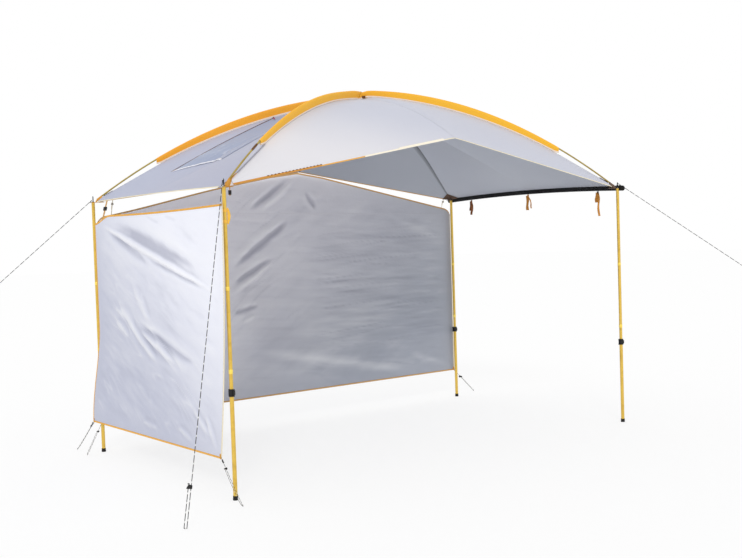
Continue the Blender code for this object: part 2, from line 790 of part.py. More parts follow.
def buckle_mesh(name, top, bottom, across):
    # A webbing strap with a side-release buckle part way down, from top to bottom.
    fall = bottom - top
    depth_way = across.cross(UP)
    body_start = 0.18 * fall.length
    body_end = body_start + min(BUCKLE_LENGTH, 0.6 * fall.length)
    edge = 0.003
    run = [(0, 0), (body_start, 0), (body_start + edge, 1), (body_end - edge, 1), (body_end, 0), (fall.length, 0)]
    rings = []
    for distance, swell in run:
        centre = top + fall * (distance / fall.length)
        width = STRAP_HALF_WIDTH + (BUCKLE_HALF_WIDTH - STRAP_HALF_WIDTH) * swell
        depth = STRAP_HALF_DEPTH + (BUCKLE_HALF_DEPTH - STRAP_HALF_DEPTH) * swell
        sides = ((-1, -1), (1, -1), (1, 1), (-1, 1))
        rings.append([centre + across * width * a + depth_way * depth * b for a, b in sides])
    return loft(name, rings)


def edge_point(edge, axis, value):
    # The place on a wall's top edge with the given coordinate.
    for a, b in zip(edge, edge[1:]):
        low, high = sorted((a[axis], b[axis]))
        if low <= value <= high:
            return a.lerp(b, (value - a[axis]) / (b[axis] - a[axis]))
    return edge[0].copy()


def strap_foot(edge, axis, value):
    # Where a strap ends on a sloping top edge, just clear of it over the strap's full width.
    spots = [edge_point(edge, axis, value + shift) for shift in (-STRAP_HALF_WIDTH, 0, STRAP_HALF_WIDTH)]
    spots[1].z = max(spot.z for spot in spots) + 2 * FIT
    return spots[1]


def build_hangers():
    seat = UP * (CANOPY_CLOTH / 2 + 2 * FIT)
    left_edge, back_edge = left_wall_rows()[0], back_wall_rows()[0]
    y = SPAN_Y / 2 - 0.25
    k = 1 - y / (SPAN_Y / 2 - EAVE_CUT)
    top = eave_point("left", "back_left", k) - seat
    bottom = strap_foot(left_edge, 1, y)
    place("wall_buckle_left", buckle_mesh("buckle", top, bottom, Vector((0, 1, 0))), black_plastic())
    for name, corner, inset in (("wall_buckle_back_left", "back_left", 0.165), ("wall_buckle_back_right", "back_right", 0.10)):
        start = leg_foot(corner)
        x = start.x - math.copysign(inset, start.x)
        first, last = eave_point("back", corner, 0), eave_point("back", corner, 1)
        slope = UP * STRAP_HALF_WIDTH / abs(last.x - first.x)
        top = first.lerp(last, (x - first.x) / (last.x - first.x)) - seat - slope * abs(last.z - first.z)
        bottom = strap_foot(back_edge, 0, x)
        place(name, buckle_mesh("buckle", top, bottom, Vector((1, 0, 0))), black_plastic())
    corner = leg_foot("front_left") + UP * (LEG_TOP - 2 * FIT)
    top = corner + inward("front_left") * 0.045 + UP * 2 * FIT
    bottom = top - UP * 0.055
    place("front_wall_buckle", buckle_mesh("buckle", top, bottom, Vector((0, 1, 0))), black_plastic())


def build_leg_loop():
    # Webbing loop round the front left leg that holds the left wall's front edge.
    bore = TUBE_R + FIT
    out = bore + LEG_LOOP_WALL
    low = LEG_TOP - LEFT_WALL_HANG - LEG_LOOP_BELOW
    high = low + LEG_LOOP_LENGTH
    ring = turned("ring", [(bore, high), (bore, low), (out, low), (out, high)])
    reach = WALL_OFFSET - WALL_CLOTH / 2 - 2 * FIT
    tab = box("tab", (-reach, -LEG_LOOP_WALL / 2, low + FIT), (-bore - LEG_LOOP_WALL / 2, LEG_LOOP_WALL / 2, high - FIT))
    place("wall_leg_loop", combine(ring, tab, "UNION"), orange_webbing(), leg_foot("front_left"))


def smooth_route(points, count):
    # Even points on a smooth curve through the given ones.
    ends = [points[0] * 2 - points[1]] + points + [points[-1] * 2 - points[-2]]
    fine = []
    for a, b, c, d in zip(ends, ends[1:], ends[2:], ends[3:]):
        for i in range(12):
            t = i / 12
            fine.append(
                0.5 * ((b * 2) + (c - a) * t + (a * 2 - b * 5 + c * 4 - d) * t**2 + (b * 3 - a - c * 3 + d) * t**3)
            )
    fine.append(points[-1])
    far = [0.0]
    for a, b in zip(fine, fine[1:]):
        far.append(far[-1] + (b - a).length)
    even, k = [], 0
    for i in range(count):
        want = far[-1] * i / (count - 1)
        while k < len(far) - 2 and far[k + 1] < want:
            k += 1
        even.append(fine[k].lerp(fine[k + 1], (want - far[k]) / (far[k + 1] - far[k])))
    return even


def build_cord(name, points, radius, surface):
    data = bpy.data.curves.new(name, "CURVE")
    data.dimensions = "3D"
    data.bevel_depth = radius
    data.bevel_resolution = 2
    data.use_fill_caps = True
    line = data.splines.new("POLY")
    line.points.add(len(points) - 1)
    for spot, p in zip(line.points, points):
        spot.co = (*p, 1.0)
    data.materials.append(surface)
    made = bpy.data.objects.new(name, data)
    bpy.context.scene.collection.objects.link(made)


def guy_start(corner, way):
    # Leaves the spike level, over the corner plate or the strip, before it turns down to its peg.
    height = LEG_TOP + FIT + POCKET_PLATE + FIT + GUY_R
    if CORNERS[corner][0] > 0:
        height = LEG_TOP + STRIP_LIFT + STRIP_HEIGHT / 2 + 4 * FIT + GUY_R
    flat = Vector((way.x, way.y, 0)).normalized()
    spike = leg_foot(corner) + UP * height
    return [spike + flat * (SPIKE_R + FIT + GUY_R), spike + flat * 2 * TUBE_R]


LEFT_GUY_PEG = (1.94, 1.40)
RIGHT_GUY_PEG = (2.28, 1.71)
FRONT_GUY_PEG_OUT = (0.557, 0.42)
LEFT_GUY_WAY = Vector((-LEFT_GUY_PEG[0], LEFT_GUY_PEG[1], -LEG_TOP)).normalized()
RIGHT_GUY_WAY = Vector((RIGHT_GUY_PEG[0], -RIGHT_GUY_PEG[1], -LEG_TOP)).normalized()
LEFT_GUY_SEEN = 1.16
RIGHT_GUY_SEEN = 1.42
GUY_LOOP_R = 0.022
FRONT_GUY_PEG = Vector((-SPAN_X / 2 - FRONT_GUY_PEG_OUT[0], -SPAN_Y / 2 - FRONT_GUY_PEG_OUT[1], 0))


def taut_guy(corner, way, seen):
    # A guy line that ends in its hand loop, just past where it is seen.
    points = guy_start(corner, way)
    start = points[-1] + way * 0.03
    points += [start, start + way * seen / 2, start + way * seen]
    side = way.cross(UP).normalized()
    turn = side.cross(way)
    centre = points[-1] + way * 0.02 + turn * GUY_LOOP_R
    for i in range(1, 8):
        angle = math.radians(42 * i)
        drift = side * GUY_R * 3 * i / 7
        points.append(centre + way * GUY_LOOP_R * math.sin(angle) - turn * GUY_LOOP_R * math.cos(angle) + drift)
    return points


def front_guy_way():
    start = guy_start("front_left", FRONT_GUY_PEG - leg_foot("front_left"))[-1]
    return start, (FRONT_GUY_PEG + UP * GUY_R * 4 - start)


def build_front_guy():
    # Runs from the spike through the runner to the peg, turns there and comes back to the runner.
    start, fall = front_guy_way()
    way = fall.normalized()
    side = way.cross(UP).normalized()
    half = STRAND_GAP / 2
    points = guy_start("front_left", fall) + [start + fall * t for t in (0.02, 0.5, RUNNER_AT, 0.95)]
    low = start + fall - way * half
    for i in range(7):
        angle = math.pi * i / 6
        points.append(low + side * half * (1 - math.cos(angle)) + way * half * math.sin(angle))
    top = start + fall * RUNNER_AT + side * STRAND_GAP
    points += [top + way * 0.12, top - way * (RUNNER_HALF_THICKNESS + KNOT_LENGTH)]
    build_cord("guy_line_front_left", smooth_route(points, 46), GUY_R, guy_line())
    frame = Matrix((side, way.cross(side), way)).transposed().to_4x4()
    outline = [
        (-RUNNER_HALF_LENGTH, -RUNNER_HALF_WIDTH),
        (RUNNER_HALF_LENGTH, -RUNNER_HALF_WIDTH),
        (RUNNER_HALF_LENGTH, RUNNER_HALF_WIDTH),
        (-RUNNER_HALF_LENGTH, RUNNER_HALF_WIDTH),
    ]
    half_thick = RUNNER_HALF_THICKNESS
    runner = prism("runner", outline, -half_thick, half_thick, lambda a, b, c: Vector((a + half, b, c)))
    for across in (0, STRAND_GAP):
        hole = loft("hole", [circle(GUY_R + 2 * FIT, z, 10) for z in (-4 * half_thick, 4 * half_thick)])
        hole.transform(Matrix.Translation((across, 0, 0)))
        runner = combine(runner, hole, "DIFFERENCE")
    runner.transform(frame)
    place("guy_runner", runner, black_plastic(), start + fall * RUNNER_AT)


def build_guys():
    left = smooth_route(taut_guy("back_left", LEFT_GUY_WAY, LEFT_GUY_SEEN), 40)
    right = smooth_route(taut_guy("front_right", RIGHT_GUY_WAY, RIGHT_GUY_SEEN), 44)
    build_cord("guy_line_back_left", left, GUY_R, guy_line())
    build_cord("guy_line_front_right", right, GUY_R, guy_line())
    build_front_guy()


def build_wall_cords():
    # Short shock cords from the walls' lower corners to the ground.
    left, back = left_wall_rows()[-1], back_wall_rows()[-1]
    below = UP * 3 * FIT
    starts = {"left_front": left[0], "left_back": left[-1], "back_left": back[0], "back_right": back[-1]}
    for name, (corner, out_x, out_y) in WALL_PEGS.items():
        side_x, side_y = CORNERS[corner]
        start = starts[name] - below
        end = leg_foot(corner) + Vector((side_x * out_x, side_y * out_y, PEG_HOOK + CORD_R))
        middle = start.lerp(end, 0.5) - UP * 0.004
        points = [start, start.lerp(middle, 0.5), middle, middle.lerp(end, 0.5), end]
        build_cord(f"wall_cord_{name}", smooth_route(points, 12), CORD_R, guy_line())


def settle_origin():
    # Moves everything so that the origin is midway along X and Y, measured without the cords.
    solids = [o for o in bpy.data.objects if o.type == "MESH" and o.name != "guy_runner"]
    bpy.context.view_layer.update()
    spots = [o.matrix_world @ Vector(corner) for o in solids for corner in o.bound_box]
    middle = [(min(p[axis] for p in spots) + max(p[axis] for p in spots)) / 2 for axis in (0, 1)]
    for item in bpy.data.objects:
        item.location -= Vector((*middle, 0))


start_scene()
build_legs()
build_arches()
build_crossing_clip()
build_pockets()
build_roof()
build_vent()
build_strip()
build_ties()
build_walls()
build_hangers()
build_leg_loop()
build_guys()
build_wall_cords()
settle_origin()
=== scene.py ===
from math import copysign, cos, exp, hypot, pi, radians, sin, sqrt
import bmesh
import bpy
from mathutils import Matrix, Vector, noise


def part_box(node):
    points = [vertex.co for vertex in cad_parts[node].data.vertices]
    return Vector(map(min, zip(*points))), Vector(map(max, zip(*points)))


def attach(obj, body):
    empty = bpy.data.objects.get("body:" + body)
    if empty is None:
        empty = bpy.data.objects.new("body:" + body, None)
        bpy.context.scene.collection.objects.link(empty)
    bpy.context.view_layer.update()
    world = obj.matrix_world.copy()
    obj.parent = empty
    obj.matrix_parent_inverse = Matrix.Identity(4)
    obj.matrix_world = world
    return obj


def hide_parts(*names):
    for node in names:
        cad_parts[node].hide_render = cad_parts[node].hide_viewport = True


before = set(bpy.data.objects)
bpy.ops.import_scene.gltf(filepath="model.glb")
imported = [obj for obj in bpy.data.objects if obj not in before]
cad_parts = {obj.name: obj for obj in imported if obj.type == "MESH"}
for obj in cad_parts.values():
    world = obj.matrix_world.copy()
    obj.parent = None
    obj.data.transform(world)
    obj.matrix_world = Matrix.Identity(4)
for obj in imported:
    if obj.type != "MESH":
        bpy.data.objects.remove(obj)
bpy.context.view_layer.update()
up = Vector((0, 0, 1))
xAxis = Vector((1, 0, 0))
yAxis = Vector((0, 1, 0))

# The awning's own sizes, as in the CAD. Everything is worked out about the middle of the four feet
# and then moved by `settle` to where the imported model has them.
awning = {
    "spanX": 3.79,
    "spanY": 2.14,
    "legTop": 2.0,
    "archRise": 0.805,
    "frontPeak": 0.37,
    "backPeak": 0.265,
    "peakShift": 0.07,
    "leftEave": 0.012,
    "seamBulge": 0.085,
    "sideBulge": 0.03,
    "ridgeCut": 0.09,
    "eaveCut": 0.075,
    "sleeveCut": 0.51,
    "sleeveDepth": 0.062,
    "sleeveEndDepth": 0.042,
    "sleeveTop": 0.00815,
    "poleRadius": 0.00635,
    "tubeRadius": 0.0127,
    "clearance": 0.0003,
    "ridgeGap": 0.001,
    "cornerDrop": 0.012,
}
spanX, spanY, legTop = awning["spanX"], awning["spanY"], awning["legTop"]
fit, tubeRadius = awning["clearance"], awning["tubeRadius"]
halfDiagonal = hypot(spanX, spanY) / 2
upperRise = awning["archRise"] + awning["sleeveTop"] + awning["poleRadius"] + fit
sleeveEnd = halfDiagonal - awning["sleeveCut"]
ridgeEnd = halfDiagonal - awning["ridgeCut"]
corners = {"front_left": (-1, -1), "back_left": (-1, 1), "front_right": (1, -1), "back_right": (1, 1)}
rises = dict.fromkeys(corners, awning["archRise"])
rises.update({"front_left": upperRise, "back_right": upperRise})
low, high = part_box("leg_foot_front_left")
settle = (low + high) / 2 - Vector((-spanX / 2, -spanY / 2, 0))
settle.z = 0
# Edges that bend more than this are drawn sharp.
sharpAngle = radians(40)


# Building helpers
def tone(red, green, blue):
    def linear(value):
        value /= 255
        return value / 12.92 if value <= 0.04045 else ((value + 0.055) / 1.055) ** 2.4

    return (linear(red), linear(green), linear(blue), 1.0)


def ease(t):
    t = min(1.0, max(0.0, t))
    return t * t * (3 - 2 * t)


def mix(a, b, t):
    return a + (b - a) * t


def bell(t):
    return exp(-(t**2))


def ripple(x, y, z):
    return noise.noise(Vector((x, y, z)))


def addObject(name, data):
    made = bpy.data.objects.new(name, data)
    bpy.context.scene.collection.objects.link(made)
    return made


def placePiece(name, mesh, slot, body="canopy", replaces=()):
    piece = addObject(name, mesh)
    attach(piece, body)
    if replaces:
        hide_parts(*replaces)
    return piece


def addPiece(name, points, faces, looks, uvs, slots, **extra):
    mesh = bpy.data.meshes.new(name)
    mesh.from_pydata([tuple(Vector(p) + settle) for p in points], [], faces)
    for look in looks:
        mesh.materials.append(finish[look])
    mesh.polygons.foreach_set("material_index", slots)
    layer = mesh.uv_layers.new(name="metres")
    flat = [0.0] * (2 * len(mesh.loops))
    for loop in mesh.loops:
        flat[2 * loop.index], flat[2 * loop.index + 1] = uvs[loop.vertex_index]
    layer.data.foreach_set("uv", flat)
    work = bmesh.new()
    work.from_mesh(mesh)
    bmesh.ops.recalc_face_normals(work, faces=work.faces)
    work.to_mesh(mesh)
    work.free()
    mesh.shade_smooth()
    mesh.set_sharp_from_angle(angle=sharpAngle)
    return placePiece(name, mesh, **extra)


def ringFaces(count, rings, closed=False):
    faces = []
    for i in range(rings if closed else rings - 1):
        near, far = i * count, (i + 1) % rings * count
        for j in range(count):
            k = (j + 1) % count
            faces.append((near + j, near + k, far + k, far + j))
    if not closed:
        faces.append(tuple(range(count)))
        faces.append(tuple(range((rings - 1) * count, rings * count)))
    return faces


def perPoint(value, count):
    return value if isinstance(value, list) else [value] * count


def runLengths(points):
    far = [0.0]
    for a, b in zip(points, points[1:]):
        far.append(far[-1] + (b - a).length)
    return far


class Builder:
    # Collects several bodies of points and faces into one piece.
    def __init__(self):
        self.points, self.faces, self.slots, self.uvs = [], [], [], []

    def add(self, points, faces, slot=0, uvs=None):
        # Without coordinates of its own, a body takes them from its place.
        start = len(self.points)
        self.points += points
        self.faces += [tuple(start + i for i in face) for face in faces]
        self.slots += [slot] * len(faces)
        self.uvs += uvs or [(p.x + p.y * 0.7, p.z + p.y * 0.7) for p in points]

    def lathe(self, profile, at=Vector(), sides=40, slot=0, closed=False, axis=up):
        side = axis.orthogonal().normalized()
        other = axis.cross(side)
        if abs(axis.z) > 0.99:
            side, other = xAxis, yAxis
        points, uvs = [], []
        for radius, height in profile:
            for i in range(sides):
                angle = 2 * pi * i / sides
                points.append(at + side * radius * cos(angle) + other * radius * sin(angle) + axis * height)
                uvs.append((height, radius * angle))
        self.add(points, ringFaces(sides, len(profile), closed), slot, uvs)

    def sweep(self, centres, sections, slot=0, closed=False):
        # sections holds, for each centre, its ring of offsets.
        far = runLengths(centres)
        count = len(sections[0])
        points, uvs = [], []
        for centre, ring, run in zip(centres, sections, far):
            around = 0.0
            for j, offset in enumerate(ring):
                around += (offset - ring[j - 1]).length if j else 0.0
                points.append(centre + offset)
                uvs.append((run, around))
        self.add(points, ringFaces(count, len(centres), closed), slot, uvs)

    def ribbon(self, centres, acrosses, normals, width, thickness, slot=0):
        # Flat webbing with rounded edges. Each of acrosses, normals and width is one value, or a
        # list with a value for every point.
        thin = thickness / 2
        sections = []
        for a, n, wide in zip(*[perPoint(value, len(centres)) for value in (acrosses, normals, width)]):
            half = wide / 2
            inner = half - thin
            shape = [(-half, 0), (-inner, -thin), (inner, -thin), (half, 0), (inner, thin), (-inner, thin)]
            sections.append([a * x + n * y for x, y in shape])
        self.sweep(centres, sections, slot)

    def tube(self, centres, radius, sides=12):
        sections = []
        side = None
        steps = [2 * pi * j / sides for j in range(sides)]
        for i, size in enumerate(perPoint(radius, len(centres))):
            ahead = centres[min(i + 1, len(centres) - 1)] - centres[max(i - 1, 0)]
            ahead.normalize()
            if side is None:
                side = ahead.cross(up)
                side = side.normalized() if side.length > 0.01 else ahead.orthogonal().normalized()
            side = (side - ahead * side.dot(ahead)).normalized()
            other = ahead.cross(side)
            sections.append([side * size * cos(a) + other * size * sin(a) for a in steps])
        self.sweep(centres, sections)

    def block(self, frameMatrix, size, bevel):
        # A box with rounded edges: size along its own axes, centred in the frame.
        work = bmesh.new()
        bmesh.ops.create_cube(work, size=1)
        bmesh.ops.scale(work, vec=size, verts=work.verts)
        reach = bevel * min(size)
        bmesh.ops.bevel(work, geom=work.edges[:], offset=reach, segments=2, affect="EDGES", profile=0.6)
        work.verts.index_update()
        points = [frameMatrix @ v.co for v in work.verts]
        faces = [tuple(v.index for v in f.verts) for f in work.faces]
        work.free()
        self.add(points, faces)

    def piece(self, name, looks, **extra):
        return addPiece(name, self.points, self.faces, looks, self.uvs, self.slots, **extra)


def frameOf(at, across, normal):
    # A matrix with X along across, Z along normal.
    ahead = normal.cross(across).normalized()
    across = ahead.cross(normal).normalized()
    made = Matrix((across, ahead, normal.normalized())).transposed().to_4x4()
    made.translation = at
    return made


def smoothRoute(points, step):
    ends = [points[0] * 2 - points[1]] + points + [points[-1] * 2 - points[-2]]
    fine = []
    for a, b, c, d in zip(ends, ends[1:], ends[2:], ends[3:]):
        for i in range(16):
            t = i / 16
            square, cube = a * 2 - b * 5 + c * 4 - d, b * 3 - a - c * 3 + d
            fine.append(0.5 * ((b * 2) + (c - a) * t + square * t**2 + cube * t**3))
    fine.append(points[-1])
    far = runLengths(fine)
    count = max(8, round(far[-1] / step))
    even, k = [], 0
    for i in range(count + 1):
        want = far[-1] * i / count
        while k < len(far) - 2 and far[k + 1] < want:
            k += 1
        even.append(fine[k].lerp(fine[k + 1], (want - far[k]) / (far[k + 1] - far[k])))
    return even


def gridNormals(grid, outward):
    rows, columns = len(grid), len(grid[0])
    normals = []
    for i in range(rows):
        line = []
        for j in range(columns):
            a = grid[min(i + 1, rows - 1)][j] - grid[max(i - 1, 0)][j]
            b = grid[i][min(j + 1, columns - 1)] - grid[i][max(j - 1, 0)]
            n = a.cross(b)
            n = n.normalized() if n.length > 1e-9 else outward.copy()
            line.append(-n if n.dot(outward) < 0 else n)
        normals.append(line)
    return normals


def placeGrid(place, columns, rows):
    # A sheet's points, and how far each of them stands out of its plane.
    placed = [[place(i / columns, j / rows) for i in range(columns + 1)] for j in range(rows + 1)]
    return [[p for p, _ in row] for row in placed], [[height for _, height in row] for row in placed]


def clothSheet(name, grid, outward, thickness, looks, folds=None, **extra):
    # A closed sheet of cloth: looks[0] on its outer face and looks[1] on its inner face.
    # folds holds, for each point, how far it stands out as a crest (1) or lies back as a valley (-1); the
    # cloth finish paints shade in the valleys and a highlight on the crests from it.
    rows, columns = len(grid), len(grid[0])
    normals = gridNormals(grid, outward)
    flat = [p for row in grid for p in row]
    shift = [n * thickness / 2 for row in normals for n in row]
    points = [p + s for p, s in zip(flat, shift)] + [p - s for p, s in zip(flat, shift)]
    downs = [runLengths([row[j] for row in grid]) for j in range(columns)]
    middle = runLengths(grid[rows // 2])
    uv = [(middle[j], downs[j][i]) for i in range(rows) for j in range(columns)]
    size = len(flat)
    faces, slots = [], []
    for i in range(rows - 1):
        for j in range(columns - 1):
            a, b = i * columns + j, (i + 1) * columns + j
            faces.append((a, a + 1, b + 1, b))
            faces.append((size + a, size + b, size + b + 1, size + a + 1))
            slots += [0, 1]
    rim = list(range(columns)) + [i * columns + columns - 1 for i in range(1, rows)]
    rim += [(rows - 1) * columns + j for j in range(columns - 2, -1, -1)]
    rim += [i * columns for i in range(rows - 2, 0, -1)]
    for i, a in enumerate(rim):
        b = rim[(i + 1) % len(rim)]
        faces.append((a, size + a, size + b, b))
        slots.append(0)
    piece = addPiece(name, points, faces, looks, uv + uv, slots, **extra)
    heights = [h for row in folds for h in row] if folds else [0.0] * size
    layer = piece.data.attributes.new("fold", "FLOAT", "POINT")
    layer.data.foreach_set("value", heights + [-h for h in heights])
    return piece


def gridEdge(grid, normals, edge):
    # One edge of a grid as points, normals and directions into the sheet.
    if edge in ("first", "last"):
        i, inner = (0, 1) if edge == "first" else (len(grid) - 1, len(grid) - 2)
        return grid[i], normals[i], [(b - a).normalized() for a, b in zip(grid[i], grid[inner])]
    j, inner = (0, 1) if edge == "start" else (len(grid[0]) - 1, len(grid[0]) - 2)
    into = [(row[inner] - row[j]).normalized() for row in grid]
    return [row[j] for row in grid], [row[j] for row in normals], into


def cornerPoint(corner):
    sideX, sideY = corners[corner]
    return Vector((sideX * spanX / 2, sideY * spanY / 2, 0))


def inward(corner):
    return (-cornerPoint(corner)).normalized()


# Shader groups
def newNode(tree, kind, **values):
    made = tree.nodes.new(kind)
    for key, value in values.items():
        setattr(made, key, value)
    return made


def connect(tree, source, target):
    tree.links.new(source, target)


def mathNode(tree, operation, first, second=None, clamp=False):
    made = newNode(tree, "ShaderNodeMath", operation=operation, use_clamp=clamp)
    for socket, value in zip(made.inputs, (first, second)):
        if isinstance(value, bpy.types.NodeSocket):
            connect(tree, value, socket)
        elif value is not None:
            socket.default_value = value
    return made.outputs[0]


def times(tree, first, second):
    return mathNode(tree, "MULTIPLY", first, second)


def plus(tree, first, second):
    return mathNode(tree, "ADD", first, second)


def minus(tree, first, second):
    return mathNode(tree, "SUBTRACT", first, second)


def noiseNode(tree, vector, scale, detail=3, roughness=0.5, distortion=0.0):
    made = newNode(tree, "ShaderNodeTexNoise")
    connect(tree, vector, made.inputs["Vector"])
    values = {"Scale": scale, "Detail": detail, "Roughness": roughness, "Distortion": distortion}
    for key, value in values.items():
        made.inputs[key].default_value = value
    return made.outputs["Fac"]


def newGroup(name, inputs):
    # A group with these inputs, each with its first value; its outputs are the same in all groups.
    tree = bpy.data.node_groups.new(name, "ShaderNodeTree")
    for label, value in inputs.items():
        kind = "Float" if isinstance(value, float) else "Color" if len(value) == 4 else "Vector"
        socket = tree.interface.new_socket(name=label, in_out="INPUT", socket_type="NodeSocket" + kind)
        socket.default_value = value
    for label, kind in (("Color", "Color"), ("Roughness", "Float"), ("Normal", "Vector")):
        tree.interface.new_socket(name=label, in_out="OUTPUT", socket_type="NodeSocket" + kind)
    return tree, newNode(tree, "NodeGroupInput").outputs


def closeGroup(tree, colour, rough, normal):
    results = newNode(tree, "NodeGroupOutput")
    for label, source in (("Color", colour), ("Roughness", rough), ("Normal", normal)):
        connect(tree, source, results.inputs[label])
    return tree


def metreSplit(tree):
    # The cloth's own coordinates in metres, as two sockets.
    uv = newNode(tree, "ShaderNodeUVMap", uv_map="metres")
    split = newNode(tree, "ShaderNodeSeparateXYZ")
    connect(tree, uv.outputs[0], split.inputs[0])
    return split.outputs[0], split.outputs[1]


def mixColour(tree, amount, first, second, blend="MIX"):
    made = newNode(tree, "ShaderNodeMix", data_type="RGBA", blend_type=blend)
    for socket, value in ((made.inputs[0], amount), (made.inputs[6], first), (made.inputs[7], second)):
        if isinstance(value, bpy.types.NodeSocket):
            connect(tree, value, socket)
        else:
            socket.default_value = value
    return made.outputs[2]


def ramp(tree, value, low, high):
    made = newNode(tree, "ShaderNodeMapRange", clamp=True)
    connect(tree, value, made.inputs[0])
    made.inputs[1].default_value, made.inputs[2].default_value = low, high
    return made.outputs[0]


def bumpNode(tree, height, distance, strength=1.0, normal=None):
    made = newNode(tree, "ShaderNodeBump")
    connect(tree, height, made.inputs["Height"])
    made.inputs["Distance"].default_value = distance
    made.inputs["Strength"].default_value = strength
    if normal is not None:
        connect(tree, normal, made.inputs["Normal"])
    return made.outputs["Normal"]


# Spacing of the threads, half a ripstop square, half a herringbone turn and the cord's strands.
weaves = {"thread": 0.0011, "ripstop": 0.003, "herringbone": 0.004, "strand": 0.0021}


def makeClothGroup():
    # Coated plain weave: thread bumps, ripstop squares, fine crumples, a cloudy tint, painted light and shade
    # that change from one end of the sheet to the other, painted shade between the threads and in the
    # valleys, and painted highlight on the crests.
    tree, given = newGroup(
        "coatedCloth",
        {
            "Color": (0.8, 0.8, 0.8, 1),
            "Shade": (0.6, 0.6, 0.7, 1),
            "PaintedLightFar": (0.8, 0.8, 0.8, 1),
            "Direction": (1, 0, 0),
            "Start": -2.0,
            "End": 2.0,
            "Cloud": 0.5,
            "Crumple": 1.0,
            "FoldShading": 0.3,
            "Roughness": 0.5,
        },
    )
    split = metreSplit(tree)
    spot = newNode(tree, "ShaderNodeTexCoord").outputs["Object"]
    threads = [mathNode(tree, "SINE", times(tree, run, 2 * pi / weaves["thread"])) for run in split]
    weave = times(tree, *threads)
    lines = [mathNode(tree, "PINGPONG", run, weaves["ripstop"]) for run in split]
    ripstop = ramp(tree, mathNode(tree, "MINIMUM", *lines), 0.0, 0.0005)
    fine = noiseNode(tree, spot, 34, 5, 0.62, 0.6)
    broad = noiseNode(tree, spot, 9, 4, 0.55, 0.3)
    cloudy = noiseNode(tree, spot, 1.6, 3, 0.5)
    crumple = plus(tree, times(tree, fine, 0.35), broad)
    crumple = times(tree, crumple, given["Crumple"])
    normal = bumpNode(tree, crumple, 0.006, 0.55)
    normal = bumpNode(tree, weave, 0.00012, 0.6, normal)
    normal = bumpNode(tree, ripstop, 0.00012, 0.5, normal)
    amount = times(tree, ramp(tree, cloudy, 0.35, 0.7), given["Cloud"])
    # The colour runs from Color to the far colour along Direction, between Start and End: painted light and
    # shade across the sheet.
    reach = newNode(tree, "ShaderNodeVectorMath", operation="DOT_PRODUCT")
    connect(tree, spot, reach.inputs[0])
    connect(tree, given["Direction"], reach.inputs[1])
    change = newNode(tree, "ShaderNodeMapRange", clamp=True, interpolation_type="SMOOTHSTEP")
    connect(tree, reach.outputs["Value"], change.inputs[0])
    connect(tree, given["Start"], change.inputs[1])
    connect(tree, given["End"], change.inputs[2])
    colour = mixColour(tree, change.outputs[0], given["Color"], given["PaintedLightFar"])
    tinted = mixColour(tree, 1.0, colour, given["Shade"], "MULTIPLY")
    colour = mixColour(tree, amount, colour, tinted)
    threadShade = ramp(tree, weave, -1.6, 1.0)
    colour = mixColour(tree, minus(tree, 1.0, threadShade), colour, tinted)
    # Painted shade darkens the fold valleys and a painted highlight lightens the crests, from each point's
    # fold attribute.
    height = newNode(tree, "ShaderNodeAttribute", attribute_name="fold").outputs["Fac"]
    valleyShade = times(tree, ramp(tree, height, 0.0, -1.0), given["FoldShading"])
    crestHighlight = times(tree, ramp(tree, height, 0.0, 1.0), times(tree, given["FoldShading"], 0.7))
    colour = mixColour(tree, valleyShade, colour, mixColour(tree, 1.0, colour, (0.42, 0.43, 0.50, 1), "MULTIPLY"))
    colour = mixColour(tree, crestHighlight, colour, (1, 1, 1, 1))
    rough = plus(tree, given["Roughness"], times(tree, minus(tree, fine, 0.5), 0.25))
    return closeGroup(tree, colour, rough, normal)


def makeWebbingGroup():
    # Herringbone webbing: slanted ribs that turn at the middle and at both edges.
    tree, given = newGroup(
        "webbing",
        {
            "Color": (0.8, 0.4, 0.1, 1),
            "Shade": (0.5, 0.2, 0.05, 1),
            "Pitch": 0.0016,
            "Depth": 1.0,
        },
    )
    along, across = metreSplit(tree)
    spot = newNode(tree, "ShaderNodeTexCoord").outputs["Object"]
    slant = mathNode(tree, "PINGPONG", across, weaves["herringbone"])
    run = plus(tree, along, slant)
    turns = mathNode(tree, "DIVIDE", times(tree, run, 2 * pi), given["Pitch"])
    rib = ramp(tree, mathNode(tree, "SINE", turns), -1.0, 1.0)
    dirt = noiseNode(tree, spot, 60, 4, 0.6)
    # The grooves between the ribs are painted darker, as shade; dirty patches darken it too.
    amount = times(tree, minus(tree, 1.0, rib), 0.55)
    amount = mathNode(tree, "ADD", amount, times(tree, ramp(tree, dirt, 0.45, 0.75), 0.25), clamp=True)
    colour = mixColour(tree, amount, given["Color"], given["Shade"])
    normal = bumpNode(tree, times(tree, rib, given["Depth"]), 0.0003, 0.8)
    rough = plus(tree, times(tree, dirt, 0.2), 0.62)
    return closeGroup(tree, colour, rough, normal)


